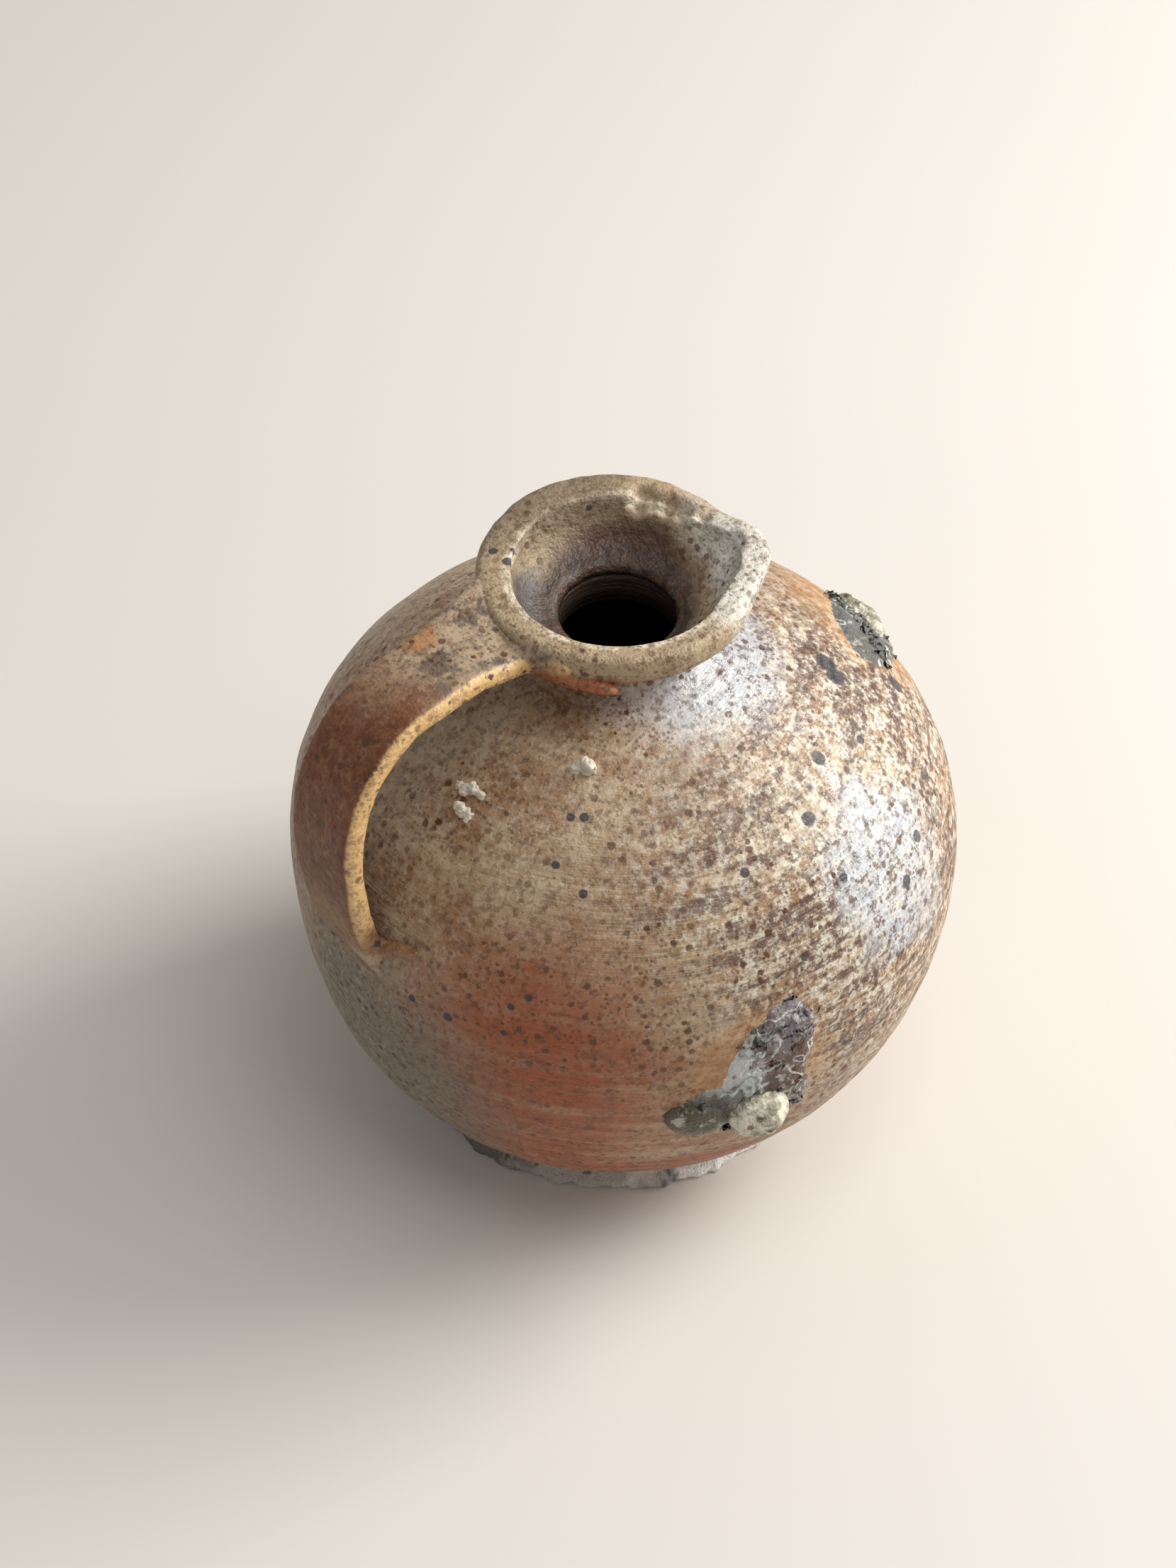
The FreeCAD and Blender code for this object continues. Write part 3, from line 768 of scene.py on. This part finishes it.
def crust_material():
    """Kiln scar: lavender-grey crust, brown in the middle, pale on one side and veined at the top."""
    paints = bpy.context.scene.jug_colours
    material, tree, shader = new_material("kiln_crust")
    place = add(tree, "ShaderNodeTexCoord").outputs["Object"]
    mottle = ramp(tree, noise_at(tree, place, 150.0, 6.0, 0.7), 0.4, 0.6)
    skin = layer(tree, paint(98, 84, 78), paint(136, 128, 134), mottle)
    brown = cover(tree, on_wall(-104, 64), (10, 10, 10), 0.5, 0.9, 160.0)
    skin = layer(tree, skin, paint(104, 74, 50), maths(tree, "MULTIPLY", brown, 0.75))
    pale_side = cover(tree, on_wall(-113, 66), (8, 6, 13), 0.4, 0.9, 200.0)
    skin = layer(tree, skin, paint(206, 208, 202), maths(tree, "MULTIPLY", pale_side, 0.95))
    lobe = cover(tree, on_wall(-118, 57.5), (9, 8, 8), 0.35, 0.5, 160.0)
    skin = layer(tree, skin, paint(78, 72, 50), lobe)
    sunk = cover(tree, on_wall(-110, 60.5), (8, 8, 6), 0.4, 0.9, 200.0)
    skin = layer(tree, skin, paint(82, 84, 76), maths(tree, "MULTIPLY", sunk, 0.75))
    far_scar = cover(tree, on_wall(-12, 105), (22, 22, 18), 0.3, 0.2, 60.0)
    skin = layer(tree, skin, paint(92, 94, 84), maths(tree, "MULTIPLY", far_scar, 0.75))
    pale = ramp(tree, noise_at(tree, place, 260.0, 6.0, 0.75), 0.53, 0.63)
    skin = layer(tree, skin, paint(190, 190, 180), maths(tree, "MULTIPLY", pale, 0.75))
    vein_line = maths(tree, "ABSOLUTE", maths(tree, "SUBTRACT", noise_at(tree, place, 95.0, 2.0), 0.5))
    veins = maths(tree, "MULTIPLY", ramp(tree, vein_line, 0.004, 0.016, 1.0, 0.0), 0.8)
    veins = maths(tree, "MULTIPLY", veins, maths(tree, "MULTIPLY_ADD", lobe, -1.0, 1.0))
    skin = layer(tree, skin, paint(206, 212, 208), veins)
    rusty = use(tree, "iron_specks", Density=480.0, Share=0.45, Size=0.42, Ragged=0.7)["Mask"]
    skin = layer(tree, skin, paints.freckle, maths(tree, "MULTIPLY", rusty, 0.6))
    tree.links.new(skin, shader.inputs["Base Color"])
    tree.links.new(ramp(tree, lobe, 0.0, 1.0, 0.6, 0.2), shader.inputs["Roughness"])
    relief = use(tree, "fired_relief", Peel=1.0, Grit=0.7, Lines=0.0, Pinholes=1.0)["Height"]
    raise_relief(tree, shader, relief, 0.9, 0.001)
    return material


def wad_material():
    """Stuck wad clay: cream and green-grey in a cloudy mottle, with dark specks."""
    paints = bpy.context.scene.jug_colours
    material, tree, shader = new_material("kiln_wad_clay")
    place = add(tree, "ShaderNodeTexCoord").outputs["Object"]
    mottle = ramp(tree, noise_at(tree, place, 260.0, 6.0, 0.7), 0.42, 0.6)
    skin = layer(tree, paint(136, 128, 108), paint(222, 216, 196), mottle)
    dark = use(tree, "iron_specks", Density=420.0, Share=0.3, Size=0.4, Ragged=0.6)["Mask"]
    skin = layer(tree, skin, paints.freckle, maths(tree, "MULTIPLY", dark, 0.7))
    tree.links.new(skin, shader.inputs["Base Color"])
    shader.inputs["Roughness"].default_value = 0.6
    relief = use(tree, "fired_relief", Peel=1.0, Grit=0.6, Lines=0.0, Pinholes=0.8)["Height"]
    raise_relief(tree, shader, relief, 0.8, 0.0008)
    return material


# ------------------------------------------------------------------ pieces


def upright(height):
    """A centre on the jug's axis."""
    return Vector((0, 0, height))


class JUG_OT_wall(bpy.types.Operator):
    """Throw the wall: base, belly, shoulder, neck and the hollow inside"""

    bl_idname = "jug.wall"
    bl_label = "Thrown wall"

    def execute(self, context):
        sizes = context.scene.jug_sizes
        base = sizes.base_radius
        outline = [Vector((0.3 * MM, 0)), Vector((base * 0.6, 0)), Vector((base, 0))]
        outline += [Vector(lower_wall(sizes)[0])]
        outline += along(lower_wall(sizes), 34) + along(upper_wall(sizes), 40)
        outline += [Vector((sizes.neck_radius - 0.8 * MM, sizes.neck_top - 2.5 * MM))]
        outline += [Vector((sizes.neck_radius + 0.4 * MM, sizes.neck_top + 0.6 * MM))]
        throat, top = sizes.throat_radius, sizes.neck_top
        outline += [Vector((throat + 1.6 * MM, top + 0.6 * MM))]
        outline += [Vector((throat, top - 2 * MM)), Vector((throat, top - 8 * MM))]
        inside = sizes.belly_radius - sizes.wall
        floor = sizes.foot_height + 2 * MM
        over = ((throat, top - 8 * MM), (throat + 8 * MM, top - 17 * MM))
        over += ((inside, sizes.belly_height + 40 * MM), (inside, sizes.belly_height))
        under = ((inside, sizes.belly_height), (inside, sizes.belly_height - 34 * MM))
        under += ((base + 8 * MM, floor + 6 * MM), (base - sizes.wall, floor))
        outline += along(over, 18) + along(under, 14)
        outline += [Vector((base * 0.5, floor)), Vector((0.3 * MM, floor))]
        rings = []
        for radius, height in outline:
            ridge = math.sin(height / (7.3 * MM) * math.tau) * math.sin(height / (31 * MM) + 1)
            on_belly = 12 * MM < height < 124 * MM and radius > 30 * MM
            rings.append((radius + sizes.ridges * ridge * on_belly, upright(height) + lean_at(sizes, height)))
        wall = pull_rings("jug_wall", rings, 192)
        close_pole()
        first = rings[0]
        pick(wall, lambda co: co.z < 0.1 * MM and co.xy.length < 2 * first[0])
        close_pole()
        tidy(wall)
        roughen(wall, 34 * MM, 0.7 * MM)
        roughen(wall, 7 * MM, 0.14 * MM)
        stand_level(wall)
        hand_over(wall, ["body", "neck"], wall_material())
        return {"FINISHED"}


class JUG_OT_rim(bpy.types.Operator):
    """Throw the flared rim and pinch its pouring lip"""

    bl_idname = "jug.rim"
    bl_label = "Rim and lip"

    def execute(self, context):
        sizes = context.scene.jug_sizes
        inner, foot, top = sizes.throat_radius + 0.8 * MM, sizes.neck_top, sizes.rim_top
        crest, outside, neck = sizes.crest_radius, sizes.rim_radius, sizes.neck_radius
        middle = (crest + outside) / 2
        edge = top - 0.3 * MM
        funnel = ((inner, foot), (inner + 6 * MM, foot + 1 * MM), (crest - 0.3 * MM, edge - 4 * MM), (crest, edge))
        roll = ((crest, edge), (crest + 0.2 * MM, top), (middle, top))
        over = ((middle, top), (outside - 0.4 * MM, top + 0.2 * MM), (outside + 0.3 * MM, top - 0.6 * MM), (outside, top - 4.2 * MM))
        under = ((outside, top - 4.2 * MM), (outside, foot + 2 * MM), (neck + 2 * MM, foot + 2.5 * MM), (neck, foot))
        outline = [Vector((inner + 0.8 * MM, foot - 2.6 * MM)), Vector((inner - 1 * MM, foot - 2.4 * MM))]
        outline += [Vector((inner - 0.9 * MM, foot - 1.2 * MM)), Vector((inner, foot))]
        outline += along(funnel, 12) + along(roll, 5) + along(over, 7) + along(under, 12)
        thick = Vector((math.cos(math.radians(70)), math.sin(math.radians(70)), 0))
        rings = []
        for radius, height in outline:
            out = min(1, max(0, (radius - crest) / (outside - crest)))
            shift = out * sizes.rim_swell / 2
            rings.append((radius + shift * 0.7, upright(height) + thick * shift))
        rim = pull_rings("rim_with_lip", rings, 192)
        bpy.ops.mesh.select_all(action="SELECT")
        bpy.ops.mesh.region_to_loop()
        bpy.ops.mesh.bridge_edge_loops()
        bpy.ops.object.mode_set(mode="OBJECT")
        tidy(rim)
        top_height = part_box("rim_and_pouring_lip")[1].z
        push(rim, thick * outside + upright(top), 6 * MM, (0, 0, sizes.rim_rise), 40 * MM)
        side = math.radians(-24)
        lip = Vector((math.cos(side), math.sin(side), 0))
        move = lip * sizes.lip_reach + upright(sizes.lip_lift)
        push(rim, lip * middle + upright(top), 3 * MM, move, 12 * MM)
        for azimuth, size, depth in ((38, 1.5, 2.2), (30, 1.1, 1.6), (23, 1.3, 2.4), (15, 1.4, 2.0), (2, 1.2, 1.2), (-20, 1.2, 1.2)):
            turn = math.radians(azimuth)
            side_way = Vector((math.cos(turn), math.sin(turn), 0))
            notch = side_way * (crest + 0.8 * MM) + upright(top + 0.8 * MM)
            push(rim, notch, size * 0.5 * MM, side_way * depth * 0.6 * MM - upright(depth * MM), size * 1.6 * MM)
        roughen(rim, 9 * MM, 0.6 * MM)
        roughen(rim, 3 * MM, 0.35 * MM)
        hand_over(rim, ["rim_and_pouring_lip"], rim_material())
        if max(v.co.z for v in rim.data.vertices) > top_height + 3 * MM:
            raise RuntimeError("the rim stands above its frame")
        return {"FINISHED"}


class JUG_OT_foot(bpy.types.Operator):
    """Squeeze out the ragged foot ring"""

    bl_idname = "jug.foot"
    bl_label = "Foot ring"

    def execute(self, context):
        sizes = context.scene.jug_sizes
        base, out, high = sizes.base_radius, sizes.foot_radius, sizes.foot_height
        outline = [(base - 2 * MM, high + 0.6 * MM), (base + 1 * MM, high + 0.4 * MM)]
        outline += [(base + 2 * MM, high - 1.6 * MM), (out - 0.6 * MM, 2.4 * MM), (out, 1.6 * MM)]
        outline += [(out + 0.2 * MM, 0.6 * MM), (out - 0.4 * MM, -0.4 * MM), (base - 2 * MM, -0.4 * MM)]
        rings = [(radius, upright(height)) for radius, height in outline]
        foot = pull_rings("foot_frill", rings, 420)
        bpy.ops.mesh.select_all(action="SELECT")
        bpy.ops.mesh.region_to_loop()
        bpy.ops.mesh.bridge_edge_loops()
        bpy.ops.object.mode_set(mode="OBJECT")
        tidy(foot)
        roughen(foot, 5 * MM, 3.2 * MM)
        roughen(foot, 1.8 * MM, 1.8 * MM)
        stand_level(foot)
        hand_over(foot, ["foot_ring"], foot_material())
        return {"FINISHED"}


def strap_line():
    """Centre line of the handle as Bezier runs of (out, height), in mm, from the rim to the belly."""
    return (
        ((23.6, 144.0), (31, 144.0), (40, 143.1), (51, 142.4)),
        ((51, 142.4), (66.6, 142.4), (76.2, 128.8), (76.2, 112.2)),
        ((76.2, 112.2), (76.2, 100.1), (74.6, 91.1), (70.2, 80)),
    )


def stuck_blob(name, place, size, turn):
    """A rounded lump of clay pressed on at a place; its half axes are in mm."""
    nothing_selected()
    bpy.ops.mesh.primitive_ico_sphere_add(subdivisions=5, radius=1, location=place, rotation=turn)
    bpy.context.object.scale = Vector(size) * MM
    return start(name)


class JUG_OT_strap(bpy.types.Operator):
    """Pull the strap handle and lute both of its ends"""

    bl_idname = "jug.strap"
    bl_label = "Strap handle"

    def execute(self, context):
        sizes = context.scene.jug_sizes
        points = [Vector(strap_line()[0][0])]
        for run in strap_line():
            points += along(run, 14)
        places = []
        for number, point in enumerate(points):
            share = number / (len(points) - 1)
            sideways = 6 * max(0, 1 - 1.25 * share) ** 2
            places.append(Vector((-point.x, sideways, point.y)) * MM)
        nothing_selected()
        bpy.ops.mesh.primitive_plane_add(size=1, location=places[0], rotation=(0, math.pi / 2, 0))
        bpy.context.object.scale = (sizes.strap_thickness, sizes.strap_root, 1)
        strap = start("strap_handle_pulled")
        bpy.ops.object.mode_set(mode="EDIT")
        bpy.ops.mesh.select_all(action="SELECT")
        bpy.ops.mesh.bevel(offset=1.9 * MM, segments=4, affect="VERTICES")
        heading, width = 0.0, sizes.strap_root
        for number in range(1, len(places)):
            step = places[number] - places[number - 1]
            ahead = places[min(number + 1, len(places) - 1)] - places[number - 1]
            turned = math.atan2(ahead.z, -ahead.x)
            bpy.ops.mesh.extrude_region_move(TRANSFORM_OT_translate={"value": step})
            bpy.ops.transform.rotate(
                value=heading - turned, orient_axis="Y", center_override=places[number]
            )
            share = number / (len(places) - 1)
            wanted = sizes.strap_width + (sizes.strap_root - sizes.strap_width) * max(0, 1 - 3.4 * share) ** 2
            bpy.ops.transform.resize(value=(1, wanted / width, 1), center_override=places[number])
            heading, width = turned, wanted
        bpy.ops.object.mode_set(mode="OBJECT")
        tidy(strap)
        push(strap, Vector((-26, -5.5, 144)) * MM, 3 * MM, (0, 0, -3.6 * MM), 15 * MM)
        lower = stuck_blob(
            "lower_lute", on_wall(-173.2, 87.2, 0), (2.2, 12.5, 1.8), (math.radians(-31), 0, math.radians(8.5))
        )
        turn = math.radians(-157)
        place = Vector((25.8 * math.cos(turn), 25.8 * math.sin(turn), 139.2)) * MM
        upper = stuck_blob("upper_lute", place, (3.2, 14, 2.4), (0, 0, turn))
        fillets = []
        for azimuth, rise in ((130, 142.6), (-163, 142)):
            corner = math.radians(azimuth)
            place = Vector((27 * math.cos(corner), 27 * math.sin(corner), rise)) * MM
            fillets.append(stuck_blob("fillet", place, (2.8, 7.5, 3.4), (0, 0, corner)))
        only(strap)
        lower.select_set(True)
        upper.select_set(True)
        for fillet in fillets:
            fillet.select_set(True)
        bpy.ops.object.join()
        fuse(strap, 0.7 * MM, 9)
        roughen(strap, 12 * MM, 0.5 * MM)
        roughen(strap, 3 * MM, 0.2 * MM)
        nodes = ["strap_handle", "handle_lower_lute", "handle_upper_lute"]
        hand_over(strap, nodes, strap_material())
        return {"FINISHED"}


def crust_patch(name, azimuth, height, leaves, thick, rough):
    """Kiln crust laid on the wall: ovals given as side, up, half length, half width in mm and tilt in degrees."""
    nothing_selected()
    foot, outward = on_wall(azimuth, height), (on_wall(azimuth, height, 1) - on_wall(azimuth, height)).normalized()
    up = (on_wall(azimuth, height + 1) - on_wall(azimuth, height - 1)).normalized()
    side = up.cross(outward).normalized()
    outward = side.cross(up).normalized()
    place = foot + outward * 10 * MM
    turn = Matrix((side, up, outward)).transposed().to_euler()
    bpy.ops.mesh.primitive_grid_add(x_subdivisions=150, y_subdivisions=150, size=60 * MM, location=place, rotation=turn)
    patch = start(name)
    group = patch.vertex_groups.new(name="leaf")
    for vertex in patch.data.vertices:
        away = vertex.co - place
        across, upward = away.dot(side) / MM, away.dot(up) / MM
        best = 0
        for right, rise, half_length, half_width, tilt in leaves:
            lean = math.radians(tilt)
            u = (across - right) * math.sin(lean) + (upward - rise) * math.cos(lean)
            v = (across - right) * math.cos(lean) - (upward - rise) * math.sin(lean)
            far = math.sqrt((u / half_length) ** 2 + (v / half_width) ** 2)
            best = max(best, min(1, max(0, (1.25 - far) * 2.2)))
        group.add([vertex.index], best, "REPLACE")
    pick(patch, lambda co: True)
    bpy.ops.mesh.select_all(action="DESELECT")
    bpy.ops.object.vertex_group_set_active(group="leaf")
    bpy.ops.object.mode_set(mode="OBJECT")
    bare = [vertex.index for vertex in patch.data.vertices if group.weight(vertex.index) < 0.001]
    keep = set(bare)
    pick(patch, lambda co: True)
    bpy.ops.mesh.select_all(action="DESELECT")
    bpy.ops.object.mode_set(mode="OBJECT")
    for index in keep:
        patch.data.vertices[index].select = True
    bpy.ops.object.mode_set(mode="EDIT")
    bpy.ops.mesh.delete(type="VERT")
    bpy.ops.object.mode_set(mode="OBJECT")
    bpy.ops.object.modifier_add(type="SHRINKWRAP")
    lay = patch.modifiers[-1]
    lay.target = bpy.data.objects["jug_wall"]
    lay.wrap_mode = "ABOVE_SURFACE"
    lay.offset = -0.9 * MM
    finish_modifiers(patch)
    bpy.ops.object.modifier_add(type="DISPLACE")
    rise = patch.modifiers[-1]
    rise.strength = (thick + 0.9) * MM
    rise.mid_level = 0
    rise.vertex_group = "leaf"
    finish_modifiers(patch)
    roughen(patch, 4 * MM, rough * MM, "leaf")
    roughen(patch, 1.3 * MM, 0.5 * rough * MM, "leaf")
    bpy.ops.object.modifier_add(type="SOLIDIFY")
    shell = patch.modifiers[-1]
    shell.thickness = 1.2 * MM
    shell.offset = -1
    finish_modifiers(patch)
    return patch


class JUG_OT_scars(bpy.types.Operator):
    """Lay the crusts that other pots left where they touched"""

    bl_idname = "jug.scars"
    bl_label = "Kiln scars"

    def execute(self, context):
        crust = crust_material()
        front = crust_patch("front_scar_crust", -106, 67, ((0.5, 1, 21, 10.5, 20), (-2, -9, 14, 11, 50), (-13.5, -9, 9, 7.5, 70), (3, -12, 10, 9.5, 0)), 1.0, 1.4)
        lobe = stuck_blob("scar_lobe", on_wall(-117.5, 57), (2.6, 7.2, 5.2), (math.radians(-20), 0, math.radians(-117.5)))
        roughen(lobe, 7 * MM, 0.8 * MM)
        only(front)
        lobe.select_set(True)
        bpy.ops.object.join()
        hand_over(front, ["kiln_scar_front"], crust)
        side = crust_patch("side_scar_crust", -9, 105, ((-2, 0, 22, 10.5, -54),), 0.9, 0.9)
        hand_over(side, ["kiln_scar_side"], crust)
        return {"FINISHED"}


class JUG_OT_lumps(bpy.types.Operator):
    """Stick on the lumps of wad clay"""

    bl_idname = "jug.lumps"
    bl_label = "Wad lumps"

    def execute(self, context):
        clay = wad_material()
        lump = stuck_blob("wad_lump", on_wall(-107, 55.5), (7, 7, 6), (0, 0, math.radians(-105)))
        roughen(lump, 5 * MM, 2.2 * MM)
        roughen(lump, 1.8 * MM, 0.7 * MM)
        hand_over(lump, ["kiln_wad_lump"], clay)
        shard = stuck_blob("kiln_shard_crust", on_wall(-7, 103), (3.4, 8, 3.6), (0, 0, math.radians(-7)))
        roughen(shard, 4 * MM, 2 * MM)
        roughen(shard, 1.5 * MM, 0.8 * MM)
        hand_over(shard, ["kiln_shard"], clay)
        return {"FINISHED"}


class JUG_OT_crumbs(bpy.types.Operator):
    """Stick on the small crumbs of clay"""

    bl_idname = "jug.crumbs"
    bl_label = "Clay crumbs"

    def execute(self, context):
        clay = bpy.data.materials["kiln_wad_clay"]
        spots = ((-142, 122.5, 3.1, 50), (-170.5, 117, 2.8, 15), (-168, 114.5, 2.2, -40))
        for number, (azimuth, height, size, tilt) in enumerate(spots, 1):
            turn = (math.radians(tilt), 0, math.radians(azimuth))
            half = (0.45 * size, 1.3 * size, 0.6 * size)
            crumb = stuck_blob(f"clay_crumb_{number}_stuck", on_wall(azimuth, height), half, turn)
            roughen(crumb, 2.2 * MM, 2.6 * MM)
            roughen(crumb, 0.9 * MM, 0.8 * MM)
            hand_over(crumb, [f"clay_crumb_{number}"], clay)
        return {"FINISHED"}


class JUG_OT_stage(bpy.types.Operator):
    """Set the floor, the soft light and the camera"""

    bl_idname = "jug.stage"
    bl_label = "Stage"

    def execute(self, context):
        scene, stage = context.scene, context.scene.jug_stage
        nothing_selected()
        bpy.ops.mesh.primitive_plane_add(size=12)
        floor = start("floor")
        material, tree, shader = new_material("plain_floor")
        place = add(tree, "ShaderNodeTexCoord").outputs["Object"]
        cloud = noise_at(tree, place, 6.0, 2.0)
        tone = layer(tree, scene.jug_colours.floor, (0.62, 0.59, 0.55), maths(tree, "MULTIPLY", cloud, 0.2))
        tree.links.new(tone, shader.inputs["Base Color"])
        shader.inputs["Roughness"].default_value = 0.7
        floor.data.materials.append(material)
        aim = Vector(stage.aim)
        lights = (
            ("window", -22, 32, 1.3, 0.7, stage.window, (1.0, 0.98, 0.95)),
            ("overhead", -70, 70, 1.5, 1.0, stage.fill, (1.0, 1.0, 1.0)),
        )
        for name, azimuth, height, far, size, power, tint in lights:
            turn, rise = math.radians(azimuth), math.radians(height)
            way = Vector((math.cos(turn) * math.cos(rise), math.sin(turn) * math.cos(rise), math.sin(rise)))
            facing = way.to_track_quat("Z", "Y").to_euler()
            bpy.ops.object.light_add(type="AREA", location=aim + way * far, rotation=facing)
            light = bpy.context.object
            light.name = name
            light.data.size = size
            light.data.energy = power
            light.data.color = tint
        world = bpy.data.worlds.new("room")
        world.use_nodes = True
        scene.world = world
        sky = world.node_tree.nodes["Background"]
        sky.inputs["Color"].default_value = (1.0, 1.0, 1.0, 1)
        sky.inputs["Strength"].default_value = stage.room
        turn, rise = stage.camera_azimuth, stage.camera_elevation
        way = Vector((math.cos(turn) * math.cos(rise), math.sin(turn) * math.cos(rise), math.sin(rise)))
        bpy.ops.object.camera_add(
            location=aim + way * stage.camera_distance, rotation=way.to_track_quat("Z", "Y").to_euler()
        )
        camera = bpy.context.object
        camera.data.lens = stage.lens
        camera.data.sensor_width = 36
        camera.data.clip_start = 0.01
        scene.camera = camera
        scene.view_settings.view_transform = "Standard"
        return {"FINISHED"}


STEPS = ("wall", "rim", "foot", "strap", "scars", "lumps", "crumbs", "stage")


class JUG_PT_sidebar(bpy.types.Panel):
    """Buttons for the jug's pieces"""

    bl_idname = "JUG_PT_sidebar"
    bl_label = "Stoneware jug"
    bl_space_type = "VIEW_3D"
    bl_region_type = "UI"
    bl_category = "Jug"

    def draw(self, context):
        for step in STEPS:
            self.layout.operator(f"jug.{step}")
        for group in (context.scene.jug_sizes, context.scene.jug_colours, context.scene.jug_stage):
            box = self.layout.box()
            for name in group.bl_rna.properties.keys():
                if name not in ("rna_type", "name"):
                    box.prop(group, name)


CLASSES = (
    JugSizes,
    JugColours,
    JugStage,
    JUG_OT_wall,
    JUG_OT_rim,
    JUG_OT_foot,
    JUG_OT_strap,
    JUG_OT_scars,
    JUG_OT_lumps,
    JUG_OT_crumbs,
    JUG_OT_stage,
    JUG_PT_sidebar,
)


def register():
    for kind in CLASSES:
        bpy.utils.register_class(kind)
    bpy.types.Scene.jug_sizes = bpy.props.PointerProperty(type=JugSizes)
    bpy.types.Scene.jug_colours = bpy.props.PointerProperty(type=JugColours)
    bpy.types.Scene.jug_stage = bpy.props.PointerProperty(type=JugStage)


def unregister():
    for name in ("jug_sizes", "jug_colours", "jug_stage"):
        delattr(bpy.types.Scene, name)
    for kind in reversed(CLASSES):
        bpy.utils.unregister_class(kind)


def main():
    """Builds the whole jug."""
    register()
    build_zone_group()
    build_speck_group()
    build_streak_group()
    build_relief_group()
    build_stoneware_group()
    for step in STEPS:
        getattr(bpy.ops.jug, step)()


if __name__ == "__main__":
    main()
